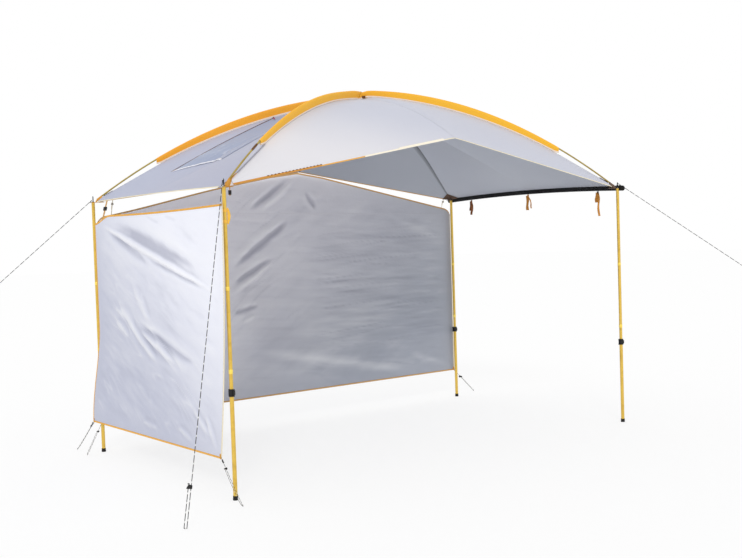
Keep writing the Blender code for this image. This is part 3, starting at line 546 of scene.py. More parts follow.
def makeWearGroup():
    # Drawn or moulded surfaces: fine lengthwise scratches, dust in patches and a mottled tint.
    tree, given = newGroup(
        "handledSurface",
        {
            "Color": (0.5, 0.5, 0.5, 1),
            "Shade": (0.3, 0.3, 0.3, 1),
            "Roughness": 0.4,
            "Drawn": 1.0,
            "Grain": 0.0,
        },
    )
    spot = newNode(tree, "ShaderNodeTexCoord").outputs["Object"]
    stretch = newNode(tree, "ShaderNodeVectorMath", operation="MULTIPLY")
    connect(tree, spot, stretch.inputs[0])
    stretch.inputs[1].default_value = (700, 700, 5)
    scratches = noiseNode(tree, stretch.outputs[0], 1, 3, 0.6)
    patches = noiseNode(tree, spot, 14, 4, 0.6, 0.4)
    grain = noiseNode(tree, spot, 900, 2, 0.5)
    amount = times(tree, ramp(tree, patches, 0.48, 0.72), 0.5)
    colour = mixColour(tree, amount, given["Color"], given["Shade"])
    drawn = times(tree, minus(tree, scratches, 0.5), given["Drawn"])
    rough = plus(tree, given["Roughness"], times(tree, drawn, 0.5))
    rough = plus(tree, rough, times(tree, ramp(tree, patches, 0.4, 0.8), 0.12))
    height = plus(tree, times(tree, drawn, 0.3), times(tree, grain, given["Grain"]))
    normal = bumpNode(tree, height, 0.0002, 0.5)
    return closeGroup(tree, colour, rough, normal)


def makeCordGroup():
    # Braided line: two families of strands, with a pale tracer that comes round at even spaces.
    tree, given = newGroup(
        "braid",
        {
            "Color": (0.1, 0.1, 0.1, 1),
            "Tracer": (0.8, 0.8, 0.8, 1),
            "Spacing": 0.05,
            "Share": 0.4,
        },
    )
    along, around = metreSplit(tree)
    ways = [plus(tree, along, around), minus(tree, along, around)]
    strands = [mathNode(tree, "SINE", times(tree, way, 2 * pi / weaves["strand"])) for way in ways]
    braid = mathNode(tree, "MAXIMUM", *strands)
    part = mathNode(tree, "FRACT", mathNode(tree, "DIVIDE", along, given["Spacing"]))
    pale = mathNode(tree, "LESS_THAN", part, given["Share"])
    colour = mixColour(tree, pale, given["Color"], given["Tracer"])
    # The gaps between the strands are painted dark, as shade.
    colour = mixColour(tree, times(tree, ramp(tree, braid, 0.2, -0.6), 0.5), colour, (0.02, 0.02, 0.02, 1))
    normal = bumpNode(tree, braid, 0.0003, 0.7)
    rough = plus(tree, times(tree, braid, -0.1), 0.7)
    return closeGroup(tree, colour, rough, normal)


shaderGroups = {
    "cloth": makeClothGroup(), "webbing": makeWebbingGroup(), "wear": makeWearGroup(),
    "cord": makeCordGroup(),
}


def makeFinish(name, group, values, **shader):
    made = bpy.data.materials.new(name)
    made.use_nodes = True
    tree = made.node_tree
    main = tree.nodes["Principled BSDF"]
    user = newNode(tree, "ShaderNodeGroup", node_tree=shaderGroups[group])
    for key, value in values.items():
        user.inputs[key].default_value = value
    connect(tree, user.outputs["Color"], main.inputs["Base Color"])
    connect(tree, user.outputs["Roughness"], main.inputs["Roughness"])
    connect(tree, user.outputs["Normal"], main.inputs["Normal"])
    for key, value in shader.items():
        main.inputs[key].default_value = value
    return made


def cloth(
    name, colour, far=None, direction=(1, 0, 0), span=(-2, 2), cloud=0.5, crumple=1.0, fold=0.35,
    roughness=0.5, tint=(0.9, 0.91, 0.94, 1),
):
    values = {
        "Color": tone(*colour), "Shade": tint, "PaintedLightFar": tone(*(far or colour)), "Direction": direction,
        "Start": span[0], "End": span[1],
    }
    values.update({"Cloud": cloud, "Crumple": crumple, "FoldShading": fold, "Roughness": roughness})
    return makeFinish(name, "cloth", values, **{"Sheen Weight": 0.04, "Specular IOR Level": 0.35})


def webbing(name, colour, shade, pitch=0.0016, depth=1.0):
    values = {"Color": tone(*colour), "Shade": tone(*shade), "Pitch": pitch, "Depth": depth}
    return makeFinish(name, "webbing", values)


def hard(name, colour, shade, roughness, drawn, grain, metallic=0.0):
    values = {
        "Color": tone(*colour), "Shade": tone(*shade), "Roughness": roughness, "Drawn": drawn,
        "Grain": grain,
    }
    return makeFinish(name, "wear", values, Metallic=metallic)


def braided(name, colour, tracer, spacing, share):
    values = {"Color": tone(*colour), "Tracer": tone(*tracer), "Spacing": spacing, "Share": share}
    return makeFinish(name, "cord", values)


finish = {
    # In each cloth, the change from the first to the second colour along the given direction is painted light
    # and shade.
    "frontRoof": cloth(
        "roofFrontCloth", (230, 228, 231), (203, 205, 217), (0.35, 0, 1), (1.8, 2.6), 0.4, 0.4
    ),
    # Painted shade: the left roof is the same cloth as the front roof, coloured darker and bluer.
    "leftRoofShaded": cloth("roofLeftShadedCloth", (182, 187, 208), (180, 182, 201), (0, -1, 0), (-1, 1), 0.5, 0.9),
    "ventCloth": cloth(
        "ventCloth", (160, 172, 198), (156, 162, 186), (0, -1, 0), (-1, 1), 0.6, 1.4, 0.5,
        roughness=0.45,
    ),
    # Painted highlight: the vent's lower hem is coloured near white.
    "ventLipHighlight": cloth("ventLipHighlight", (250, 250, 255), cloud=0.3, crumple=1.4),
    "backRoof": cloth("roofBackCloth", (212, 212, 222), cloud=0.4, crumple=0.6),
    "roofInside": cloth(
        "roofInside", (176, 181, 190), (196, 200, 209), (1, 0, 0), (-1.6, 1.8), 0.4, 0.4, roughness=0.55
    ),
    "backInside": cloth(
        "backInside", (163, 167, 176), (180, 184, 193), (1, 0, 0), (-1.6, 1.8), 0.4, 0.4, roughness=0.55
    ),
    "rightInside": cloth(
        "rightInside", (202, 206, 215), (184, 188, 197), (0, -1, 0), (-1, 1), 0.4, 0.4, roughness=0.55
    ),
    "wallOutside": cloth(
        "wallOutside", (245, 246, 254), (194, 197, 213), (0, 0.8, -1), (-2.3, -0.3), 0.6, 0.9, 0.62
    ),
    # Painted light: the inner faces are near white at the top left, lifting the roof's shadow there, and grey
    # towards the bottom right.
    "wallInside": cloth(
        "wallInside", (255, 251, 255), (170, 174, 184), (1, 0, -1.3), (-4.3, 0.6), 0.6, 1.0, 0.55
    ),
    # Painted shade: the sleeves' orange darkens towards the back.
    "sleeve": cloth(
        "sleeveCloth", (255, 194, 52), (255, 178, 50), (0, 1, 0), (-0.4, 0.4), 0.5, 0.6, roughness=0.6,
        tint=(0.88, 0.82, 0.60, 1),
    ),
    "sleeveHem": cloth("sleeveHem", (242, 226, 210), cloud=0.4, crumple=0.5, roughness=0.65),
    "flange": cloth("ridgeFlange", (226, 227, 238), cloud=0.4, crumple=0.5, roughness=0.6),
    "binding": webbing("orangeBinding", (246, 186, 72), (204, 136, 38), 0.0012, 0.7),
    "eaveBinding": webbing("eaveBinding", (222, 156, 62), (168, 104, 26), 0.0012, 0.7),
    "tanBinding": webbing("tanBinding", (214, 170, 108), (172, 124, 66), 0.0012, 0.7),
    "paleBinding": webbing("paleBinding", (246, 238, 214), (222, 208, 170), 0.0012, 0.7),
    "creamBand": webbing("creamBand", (252, 246, 230), (238, 224, 196), 0.0012, 0.5),
    "webbing": webbing("orangeWebbing", (228, 166, 62), (176, 112, 28)),
    "loopWebbing": webbing("loopWebbing", (255, 206, 84), (226, 170, 50)),
    "tie": webbing("tieWebbing", (226, 156, 62), (160, 98, 30)),
    "darkTie": webbing("darkTieWebbing", (150, 86, 34), (84, 44, 16)),
    "gusset": webbing("gussetWebbing", (112, 88, 72), (70, 52, 42)),
    "blackWebbing": webbing("blackWebbing", (6, 6, 7), (2, 2, 3)),
    "zipTape": webbing("zipTape", (158, 98, 54), (104, 58, 28)),
    "seamTape": webbing("seamTape", (120, 125, 136), (94, 98, 108), 0.0012, 0.5),
    # Painted shade: three greys for the strips of shade on the back panel under the back right ridge, darkest
    # nearest the ridge.
    "shadeStripNear": webbing("shadeStripNear", (126, 130, 137), (120, 124, 131), 0.0012, 0.3),
    "shadeStripMiddle": webbing("shadeStripMiddle", (140, 144, 151), (134, 138, 145), 0.0012, 0.3),
    "shadeStripFar": webbing("shadeStripFar", (155, 159, 167), (149, 153, 161), 0.0012, 0.3),
    "tapeEdge": webbing("tapeEdge", (56, 58, 64), (40, 42, 46), 0.0012, 0.5),
    "greyTape": webbing("greyTape", (172, 170, 182), (140, 138, 150), 0.0012, 0.5),
    "stitch": webbing("palestitch", (210, 205, 200), (150, 145, 140), 0.001, 0.3),
    "darkStitch": webbing("darkStitch", (120, 72, 20), (70, 40, 10), 0.001, 0.3),
    "gold": hard("goldTube", (228, 190, 82), (188, 148, 54), 0.32, 1.0, 0.0, 0.45),
    "brightGold": hard("brightGold", (255, 226, 100), (240, 196, 66), 0.3, 0.6, 0.0, 0.3),
    "pole": hard("poleGold", (176, 154, 72), (134, 108, 44), 0.4, 1.0, 0.0, 0.35),
    "steel": hard("steel", (196, 196, 198), (150, 150, 154), 0.3, 1.0, 0.0, 0.9),
    "plastic": hard("blackPlastic", (6, 6, 7), (12, 12, 13), 0.62, 0.2, 1.0),
    "palePlastic": hard("palePlastic", (176, 168, 156), (130, 122, 112), 0.45, 0.2, 1.0),
    "rubber": hard("footRubber", (16, 15, 14), (30, 28, 25), 0.75, 0.1, 1.0),
    "clip": webbing("crossingBrown", (120, 78, 36), (66, 40, 16)),
    "redPull": hard("redPull", (176, 44, 92), (120, 24, 60), 0.5, 0.2, 0.6),
    "guy": braided("guyLine", (14, 14, 15), (236, 236, 232), 0.054, 0.22),
    "wallCord": braided("wallCord", (58, 56, 54), (196, 194, 188), 0.03, 0.4),
}
print("materials ready")


# Repeated details along a path
def makeRepeatGroup():
    tree = bpy.data.node_groups.new("repeatAlongPath", "GeometryNodeTree")
    kinds = {"Path": "Geometry", "Pitch": "Float", "Piece": "Object", "Finish": "Material"}
    for label, kind in kinds.items():
        tree.interface.new_socket(name=label, in_out="INPUT", socket_type="NodeSocket" + kind)
    tree.interface.new_socket(name="Result", in_out="OUTPUT", socket_type="NodeSocketGeometry")
    given = newNode(tree, "NodeGroupInput").outputs
    spread = newNode(tree, "GeometryNodeCurveToPoints", mode="LENGTH")
    info = newNode(tree, "GeometryNodeObjectInfo")
    copies = newNode(tree, "GeometryNodeInstanceOnPoints")
    real = newNode(tree, "GeometryNodeRealizeInstances")
    paint = newNode(tree, "GeometryNodeSetMaterial")
    links = (
        (given["Path"], spread.inputs["Curve"]),
        (given["Pitch"], spread.inputs["Length"]),
        (given["Piece"], info.inputs["Object"]),
        (spread.outputs["Points"], copies.inputs["Points"]),
        (info.outputs["Geometry"], copies.inputs["Instance"]),
        (spread.outputs["Rotation"], copies.inputs["Rotation"]),
        (copies.outputs["Instances"], real.inputs["Geometry"]),
        (real.outputs["Geometry"], paint.inputs["Geometry"]),
        (given["Finish"], paint.inputs["Material"]),
        (paint.outputs["Geometry"], newNode(tree, "NodeGroupOutput").inputs["Result"]),
    )
    for source, target in links:
        connect(tree, source, target)
    return tree


repeatGroup = makeRepeatGroup()


def repeatAlong(name, lines, pitch, shape, look, slot):
    # Sets copies of shape along every line. The copies' Z runs along the line.
    data = bpy.data.curves.new(name, "CURVE")
    data.dimensions = "3D"
    data.twist_mode = "Z_UP"
    for line in lines:
        spline = data.splines.new("POLY")
        spline.points.add(len(line) - 1)
        for spot, p in zip(spline.points, line):
            spot.co = (*(p + settle), 1.0)
    maker, part = addObject(name + "Path", data), addObject(name + "Part", shape)
    change = maker.modifiers.new("repeat", "NODES")
    change.node_group = repeatGroup
    sockets = {
        item.name: item.identifier for item in repeatGroup.interface.items_tree if item.in_out == "INPUT"
    }
    for label, value in (("Pitch", pitch), ("Piece", part), ("Finish", finish[look])):
        change[sockets[label]] = value
    graph = bpy.context.evaluated_depsgraph_get()
    mesh = bpy.data.meshes.new_from_object(maker.evaluated_get(graph))
    for item in (maker, part):
        bpy.data.objects.remove(item, do_unlink=True)
    mesh.name = name
    return placePiece(name, mesh, slot)


def stitchShape(length, radius):
    work = bmesh.new()
    bmesh.ops.create_uvsphere(work, u_segments=6, v_segments=4, radius=radius)
    bmesh.ops.scale(work, vec=(1, 1, length / (2 * radius)), verts=work.verts)
    mesh = bpy.data.meshes.new("stitch")
    work.to_mesh(mesh)
    work.free()
    mesh.shade_smooth()
    return mesh


stitches = stitchShape(0.0046, 0.00045)
tacks = stitchShape(0.016, 0.0042)
stitchPitch = 0.009


# Camera
camera = {
    "position": (-5.105, -6.878, 1.645),
    "yaw": -36.826,
    "pitch": -2.254,
    "roll": -1.877,
    "lens": 50.294,
}


def placeCamera():
    yaw, pitch, roll = (radians(camera[key]) for key in ("yaw", "pitch", "roll"))
    ahead = Vector((-sin(yaw) * cos(pitch), cos(yaw) * cos(pitch), sin(pitch)))
    right = Vector((cos(yaw), sin(yaw), 0))
    above = right.cross(ahead)
    side = right * cos(roll) + above * sin(roll)
    top = above * cos(roll) - right * sin(roll)
    data = bpy.data.cameras.new("camera")
    data.lens, data.sensor_width = camera["lens"], 36
    made = addObject("camera", data)
    turn = Matrix((side, top, -ahead)).transposed().to_4x4()
    turn.translation = Vector(camera["position"]) + settle
    made.matrix_world = turn
    bpy.context.scene.camera = made


placeCamera()


# Guy lines and wall cords, along the same routes as in the CAD
guy = {
    "radius": 0.0023,
    "leftPeg": (1.94, 1.40),
    "rightPeg": (2.28, 1.71),
    "frontPeg": (0.557, 0.42),
    "leftSeen": 1.16,
    "rightSeen": 1.42,
    "loop": 0.022,
    "strandGap": 0.018,
    "runnerAt": 0.887,
    "runnerHalf": 0.012,
    # The runner's outline from its top to its foot: height and half width.
    "runnerRows": [
        (-1.0, 0.008), (-0.86, 0.0115), (-0.3, 0.0145), (0.5, 0.0172), (0.86, 0.0176), (1.0, 0.0165)
    ],
    "step": 0.006,
}
wallCord = {
    "radius": 0.0015,
    "below": 0.0009,
    "pegHook": 0.005,
    "starts": {
        "left_front": (-1.935, -0.98, 0.258),
        "left_back": (-1.935, 1.155, 0.238),
        "back_left": (-1.875, 1.11, 0.25),
        "back_right": (1.907, 1.11, 0.27),
    },
    "pegs": {
        "left_front": ("front_left", 0.06, 0.20),
        "left_back": ("back_left", 0.145, 0.20),
        "back_left": ("back_left", 0.165, -0.07),
        "back_right": ("back_right", 0.335, 0.11),
    },
    "locks": {"left_front": 0.2, "left_back": 0.14, "back_left": 0.32, "back_right": 0.30},
    "lockSizes": {"back_right": 1.6},
    # A lock's body, button and collar: place across the cord, size and bevel.
    "lockBlocks": [
        (0.0, (0.014, 0.010, 0.009), 0.3),
        (0.009, (0.008, 0.007, 0.007), 0.3),
        (-0.006, (0.004, 0.012, 0.011), 0.25),
    ],
    "strand": 0.010,
}


def cordPiece(name, points, radius, look, node):
    builder = Builder()
    builder.tube(points, radius, 12)
    piece = builder.piece(name, [look], slot="guy_line", replaces=[node])


def barrelKnot(builder, at, way, radius, turns=3):
    # The line wound about itself.
    side = way.orthogonal().normalized()
    other = way.cross(side)
    count = 14 * turns
    wound = []
    for i in range(count + 1):
        angle = 2 * pi * i / 14
        rise = radius * 2.0 * (i / 14 - turns / 2)
        turned = at + side * 1.9 * radius * cos(angle) + other * 1.9 * radius * sin(angle)
        wound.append(turned + way * rise)
    builder.tube(wound, radius * 0.95, 8)


def guyStart(corner, way):
    height = legTop + 2 * fit + 0.003 + guy["radius"]
    if corners[corner][0] > 0:
        height = legTop + 0.024 + 4 * fit + guy["radius"]
    flat = Vector((way.x, way.y, 0)).normalized()
    spike = cornerPoint(corner) + up * height
    return [spike + flat * (0.004 + fit + guy["radius"]), spike + flat * 2 * tubeRadius]


def guyCollar(name, corner, way):
    # The eye that sits on the leg's spike, and the knot that closes it.
    start, after = guyStart(corner, way)
    centre = Vector((cornerPoint(corner).x, cornerPoint(corner).y, start.z))
    radius = (start - centre).length
    turns = [2 * pi * i / 24 for i in range(24)]
    ring = [centre + Vector((cos(a), sin(a), 0)) * radius for a in turns]
    turns = [pi * j / 5 for j in range(10)]
    sections = []
    for p in ring:
        out = (p - centre).normalized()
        sections.append([(out * cos(a) + up * sin(a)) * guy["radius"] for a in turns])
    builder = Builder()
    builder.sweep(ring, sections, closed=True)
    barrelKnot(builder, start.lerp(after, 0.72), (after - start).normalized(), guy["radius"])
    return builder.piece(name, ["guy"], slot="guy_line")


def tautGuy(corner, way, seen):
    points = guyStart(corner, way)
    start = points[-1] + way * 0.03
    points += [start, start + way * seen / 2, start + way * seen]
    side = way.cross(up).normalized()
    turn = side.cross(way)
    centre = points[-1] + way * 0.02 + turn * guy["loop"]
    for i in range(1, 8):
        angle = radians(42 * i)
        drift = side * guy["radius"] * 3 * i / 7
        points.append(centre + way * guy["loop"] * sin(angle) - turn * guy["loop"] * cos(angle) + drift)
    return points


def buildTautGuys():
    legs = (("back_left", -1, 1, "left"), ("front_right", 1, -1, "right"))
    for corner, sideX, sideY, key in legs:
        awayX, awayY = guy[key + "Peg"]
        way = Vector((sideX * awayX, sideY * awayY, -legTop)).normalized()
        controls = tautGuy(corner, way, guy[key + "Seen"])
        eye = guyCollar("guyEye_" + corner, corner, way)
        knot = Builder()
        barrelKnot(knot, controls[4] - way * 0.012, way, guy["radius"])
        end = knot.piece("guyKnot_" + corner, ["guy"], slot="guy_line")
        points = smoothRoute(controls, guy["step"])
        cordPiece("guyLine_" + corner, points, guy["radius"], "guy", "guy_line_" + corner)


def buildRunner(middle, way, side):
    # A flat tensioner, narrow above and wide below, with an eye for each strand.
    body = Builder()
    normal = way.cross(side)
    tall = guy["runnerHalf"]
    sections = []
    for height, wide in guy["runnerRows"]:
        deep = 0.0058 * (0.75 if abs(height) == 1 else 1)
        thin, soft = deep * 0.6, wide - 0.002
        ring = [
            (wide, -thin), (wide, thin), (soft, deep), (-soft, deep), (-wide, thin), (-wide, -thin),
            (-soft, -deep), (soft, -deep),
        ]
        sections.append([side * (a + 0.003 * height) + normal * b for a, b in ring])
    body.sweep([middle + way * tall * height for height, _ in guy["runnerRows"]], sections)
    for across in (-0.5, 0.5):
        eyeAt = middle + side * across * guy["strandGap"]
        body.lathe([(0.0030, tall), (0.0040, tall + 0.0006), (0.0050, tall)], eyeAt, 20, axis=way)
    return body.piece("runner", ["plastic"], body="runner", slot="black_plastic", replaces=["guy_runner"])


def buildFrontGuy():
    # It runs to its peg and comes back to the runner.
    corner = "front_left"
    peg = cornerPoint(corner) - Vector((guy["frontPeg"][0], guy["frontPeg"][1], 0))
    start = guyStart(corner, peg - cornerPoint(corner))[-1]
    fall = peg + up * guy["radius"] * 4 - start
    way = fall.normalized()
    side = way.cross(up).normalized()
    half = guy["strandGap"] / 2
    at = guy["runnerAt"]
    points = guyStart(corner, fall) + [start + fall * t for t in (0.02, 0.5, at, 0.95)]
    lowest = start + fall - way * half
    for i in range(7):
        angle = pi * i / 6
        points.append(lowest + side * half * (1 - cos(angle)) + way * half * sin(angle))
    top = start + fall * at + side * guy["strandGap"]
    points += [top + way * 0.12, top - way * (guy["runnerHalf"] + 0.009)]
    eye = guyCollar("guyEye_" + corner, corner, fall)
    knot = Builder()
    barrelKnot(knot, top - way * (guy["runnerHalf"] + 0.005), way, guy["radius"], 2)
    end = knot.piece("guyKnot_" + corner, ["guy"], slot="guy_line")
    runner = buildRunner(start + fall * at + side * half, way, side)
    points = smoothRoute(points, guy["step"])
    cordPiece(
        "guyLine_" + corner, points, guy["radius"], "guy", "guy_line_" + corner,
    )


buildTautGuys()
buildFrontGuy()


def buildWallCords():
    # Each has a hook in the wall's webbing, a slide lock part way down and a knot at its lower end.
    for name, (corner, outX, outY) in wallCord["pegs"].items():
        sideX, sideY = corners[corner]
        start = Vector(wallCord["starts"][name]) - up * wallCord["below"]
        away = Vector((sideX * outX, sideY * outY, wallCord["pegHook"] + wallCord["radius"]))
        end = cornerPoint(corner) + away
        middle = start.lerp(end, 0.5) - up * 0.004
        points = smoothRoute([start, start.lerp(middle, 0.5), middle, middle.lerp(end, 0.5), end], 0.005)
        way = (end - start).normalized()
        across = way.cross(up).normalized()
        normal = across.cross(way)
        hook = Builder()
        bend = []
        for i in range(15):
            angle = radians(-120 + 300 * i / 14)
            bend.append(start + way * (0.013 - 0.007 * cos(angle)) + normal * 0.007 * sin(angle))
        hook.tube([bend[0] + way * 0.008] + bend + [bend[-1] + way * 0.006], 0.0019, 10)
        hook.block(frameOf(start + way * 0.026, across, normal), (0.009, 0.014, 0.007), 0.3)
        hookPiece = hook.piece("cordHook_" + name, ["plastic"], slot="black_plastic")
        lock = Builder()
        held = wallCord["locks"][name]
        spot = start.lerp(end, held) - up * 0.016 * held * (1 - held)
        big = wallCord["lockSizes"].get(name, 1.0)
        for shift, size, bevel in wallCord["lockBlocks"]:
            lock.block(frameOf(spot + across * shift * big, across, normal), [v * big for v in size], bevel)
        lockPiece = lock.piece("cordLock_" + name, ["plastic"], slot="black_plastic")
        knot = Builder()
        barrelKnot(knot, end - way * 0.008 + up * 0.002, way, wallCord["radius"], 2)
        knotPiece = knot.piece("cordKnot_" + name, ["wallCord"], slot="guy_line")
        # The second strand comes back from the peg to the lock.
        strand = Builder()
        turn = [spot + across * 0.008, spot + across * wallCord["strand"] + (end - spot) * 0.15]
        turn += [
            mix(spot, end, t) + across * wallCord["strand"] - up * 0.003 * sin(pi * t) for t in (0.5, 0.8)
        ]
        turn += [end - way * 0.02 + across * wallCord["strand"] * 0.8, end - way * 0.004 + across * 0.002]
        strand.tube(smoothRoute(turn, 0.006), wallCord["radius"], 10)
        strandPiece = strand.piece("cordStrand_" + name, ["wallCord"], slot="guy_line")
        cordPiece(
            "wallCord_" + name, points, wallCord["radius"], "wallCord", "wall_cord_" + name,
        )


buildWallCords()
print("camera and cords ready")


# The canopy's surfaces
archLook = {
    # How far the arches stand above those of the CAD, and over what length.
    "crown": 0.021,
    "crownReach": 0.26,
    "fuller": 0.045,
    "fullerStart": 0.10,
    "fullerRun": 0.18,
    "fullerEnd": 2.1,
}


def archHeight(s, rise):
    return legTop + rise * (1 - (s / halfDiagonal) ** 2)


def archLift(corner, s):
    # Both arches rise to the crossing, and the lower one stands a little fuller on the vehicle side.
    crown = archLook["crown"] * bell(s / archLook["crownReach"])
    if corner != "front_right":
        return crown
    fuller = archLook["fuller"] * ease((s + archLook["fullerStart"]) / archLook["fullerRun"])
    return max(crown, fuller * (1 - (s / archLook["fullerEnd"]) ** 2))


def sleeveDepth(s, rise):
    lift = (rise - awning["archRise"]) * (1 - ease(abs(s) / awning["sleeveCut"]))
    swell = (awning["sleeveDepth"] - awning["sleeveEndDepth"]) * sin(pi * min(1.0, abs(s) / sleeveEnd))
    return awning["sleeveEndDepth"] + swell + lift


def ridgePoint(corner, k):
    s = ridgeEnd * (1 - k)
    rise = rises[corner]
    held = min(s, sleeveEnd)
    slope = 2 * rise * held / halfDiagonal**2
    below = (sleeveDepth(held, rise) + awning["ridgeGap"]) * hypot(1, slope)
    z = archHeight(held, rise) + archLift(corner, held) - below - 0.001
    if s > held:
        lowest = archHeight(ridgeEnd, rise) - awning["cornerDrop"]
        z += (lowest - z) * (s - held) / (ridgeEnd - held)
    return -inward(corner) * s + up * z


def stripHeight(y):
    return legTop + 0.002 + 0.026 * (1 - (2 * y / spanY) ** 2)


def eavePoint(side, corner, k):
    start = cornerPoint(corner)
    cut = awning["eaveCut"]
    if side in ("front", "back"):
        rise = awning["frontPeak"] if side == "front" else awning["backPeak"]
        middle = Vector((awning["peakShift"], start.y, legTop + rise))
        start = start + up * legTop
        start = start + (middle - start).normalized() * cut
        return start.lerp(middle, k)
    y = start.y * (1 - k) * (1 - 2 * cut / spanY)
    if side == "left":
        return Vector((start.x, y, legTop + awning["leftEave"] * (1 - (2 * y / spanY) ** 2)))
    return Vector((spanX / 2 + 0.013, y, stripHeight(y) + 0.018))


roofSides = {
    "front": ("front_left", "front_right", Vector((0, -1, 0))),
    "back": ("back_right", "back_left", Vector((0, 1, 0))),
    "left": ("back_left", "front_left", Vector((-1, 0, 0))),
    "right": ("front_right", "back_right", Vector((1, 0, 0))),
}


def roofPoint(side, corner, k, down):
    ridge, eave = ridgePoint(corner, k), eavePoint(side, corner, k)
    across = 4 * down * (1 - down)
    if side in ("front", "back"):
        bulge = awning["seamBulge"] * k**1.5
    else:
        bulge = awning["sideBulge"] * sin(pi * k / 2)
    shift = roofSides[side][2] * 0.0003 * (1 - down)
    return ridge.lerp(eave, down) + up * bulge * across + shift


def foldHeight(a, b, folds):
    # Folds in a sheet's own plane: each is a sharp crest between two valleys.
    total = 0.0
    for (a0, b0), (a1, b1), wide, depth in folds:
        runA, runB = a1 - a0, b1 - b0
        length = hypot(runA, runB)
        along = ((a - a0) * runA + (b - b0) * runB) / length**2
        if not 0 < along < 1:
            continue
        off = ((a - a0) * runB - (b - b0) * runA) / length
        off += 0.006 * ripple(along * 9 * length, a0 * 7, b0 * 5)
        width = wide * (0.55 + 0.45 * sin(pi * along))
        shape = exp(-((abs(off) / width) ** 1.5)) - 0.5 * bell((off - 1.7 * width) / width)
        shape -= 0.3 * bell((off + 1.6 * width) / width)
        total += depth * shape * ease(along * 4) * ease((1 - along) * 4)
    return total


def crumple(a, b, turn, longSize, shortSize, seed):
    # Wrinkles that run in one direction of a sheet.
    c, s = cos(turn), sin(turn)
    u, v = (a * c + b * s) / longSize, (b * c - a * s) / shortSize
    return noise.fractal(Vector((u, v, seed)), 0.9, 2.1, 3)


def creases(a, b, turn, longSize, shortSize, seed):
    # Sharp thin creases, 0 to 1, that fade in and out along one direction of a sheet.
    c, s = cos(turn), sin(turn)
    u, v = (a * c + b * s) / longSize, (b * c - a * s) / shortSize
    bend = 0.25 * ripple(u * 1.7, v * 1.1, seed + 3)
    sharp = max(0.0, 1 - abs(ripple(u, v + bend, seed)) / 0.16) ** 1.4
    return sharp * ease(0.5 + 1.6 * ripple(u * 0.9, v * 0.5, seed + 7))


roofLook = {
    "columns": 36,
    "rows": 26,
    "thickness": 0.0014,
    "wave": 0.003,
    "cornerPull": 0.006,
    "pucker": 0.006,
    # Each eave's bindings: first and last column, width and finish. Columns 0 to 36 run to the peak.
    "eaves": {
        "front": [
            (0, 13, 0.018, "eaveBinding"), (13, 20, 0.012, "binding"), (20, 26, 0.017, "creamBand"),
            (26, 34, 0.027, "creamBand"), (34, 72, 0.011, "paleBinding"),
        ],
        "back": [(0, 72, 0.012, "tanBinding")],
        "left": [(0, 72, 0.012, "paleBinding")],
        "right": [],
    },
}


def roofGrid(side):
    first, second, _ = roofSides[side]
    columns, rows = roofLook["columns"], roofLook["rows"]
    steps = [i / columns for i in range(columns + 1)]
    run = [(first, k) for k in steps] + [(second, k) for k in reversed(steps[:-1])]
    grid = []
    for j in range(rows + 1):
        down = j / rows
        line = []
        for corner, k in run:
            p = roofPoint(side, corner, k, down)
            pin = 4 * down * (1 - down)
            seed = {"front": 1.3, "back": 4.1, "left": 7.7, "right": 9.2}[side]
            wave = roofLook["wave"] * ripple(p.x * 1.8, p.y * 1.8, seed) * pin
            pull = roofLook["cornerPull"] * exp(-k * 6) * crumple(k, down, 0, 0.8, 0.1, seed) * pin
            seam = -0.004 * bell((1 - k) / 0.012) * pin
            if side == "left":
                # The vent's lower lip puckers the roof just below it.
                near = bell((down - 0.80) / 0.07) * ease((k - 0.6) / 0.2)
                pull += roofLook["pucker"] * near * ripple(p.y * 26, down * 5, 6.6)
            if side == "front":
                peak = bell((1 - k) / 0.05) * bell((down - 0.93) / 0.06)
                pull += 0.006 * peak * sin(p.x * 150)
            line.append(p + up * (wave + pull + seam))
        grid.append(line)
    return grid


roofFinish = {
    "front": ("frontRoof", "roof_front"),
    "back": ("backRoof", "roof_back"),
    "left": ("leftRoofShaded", "roof_left"),
    "right": ("backRoof", "roof_right"),
}
roofUndersides = {"back": "backInside", "right": "rightInside"}


def bindEdge(builder, edge, width, thickness, proud=0.002):
    # Folded tape over an edge of a sheet.
    points, normals, into = edge
    centres = [p + d * (width / 2 - proud) for p, d in zip(points, into)]
    builder.ribbon(centres, into, normals, width, thickness)


def edgeLine(edge, inset, lift):
    return [p + d * inset + n * lift for p, n, d in zip(*edge)]


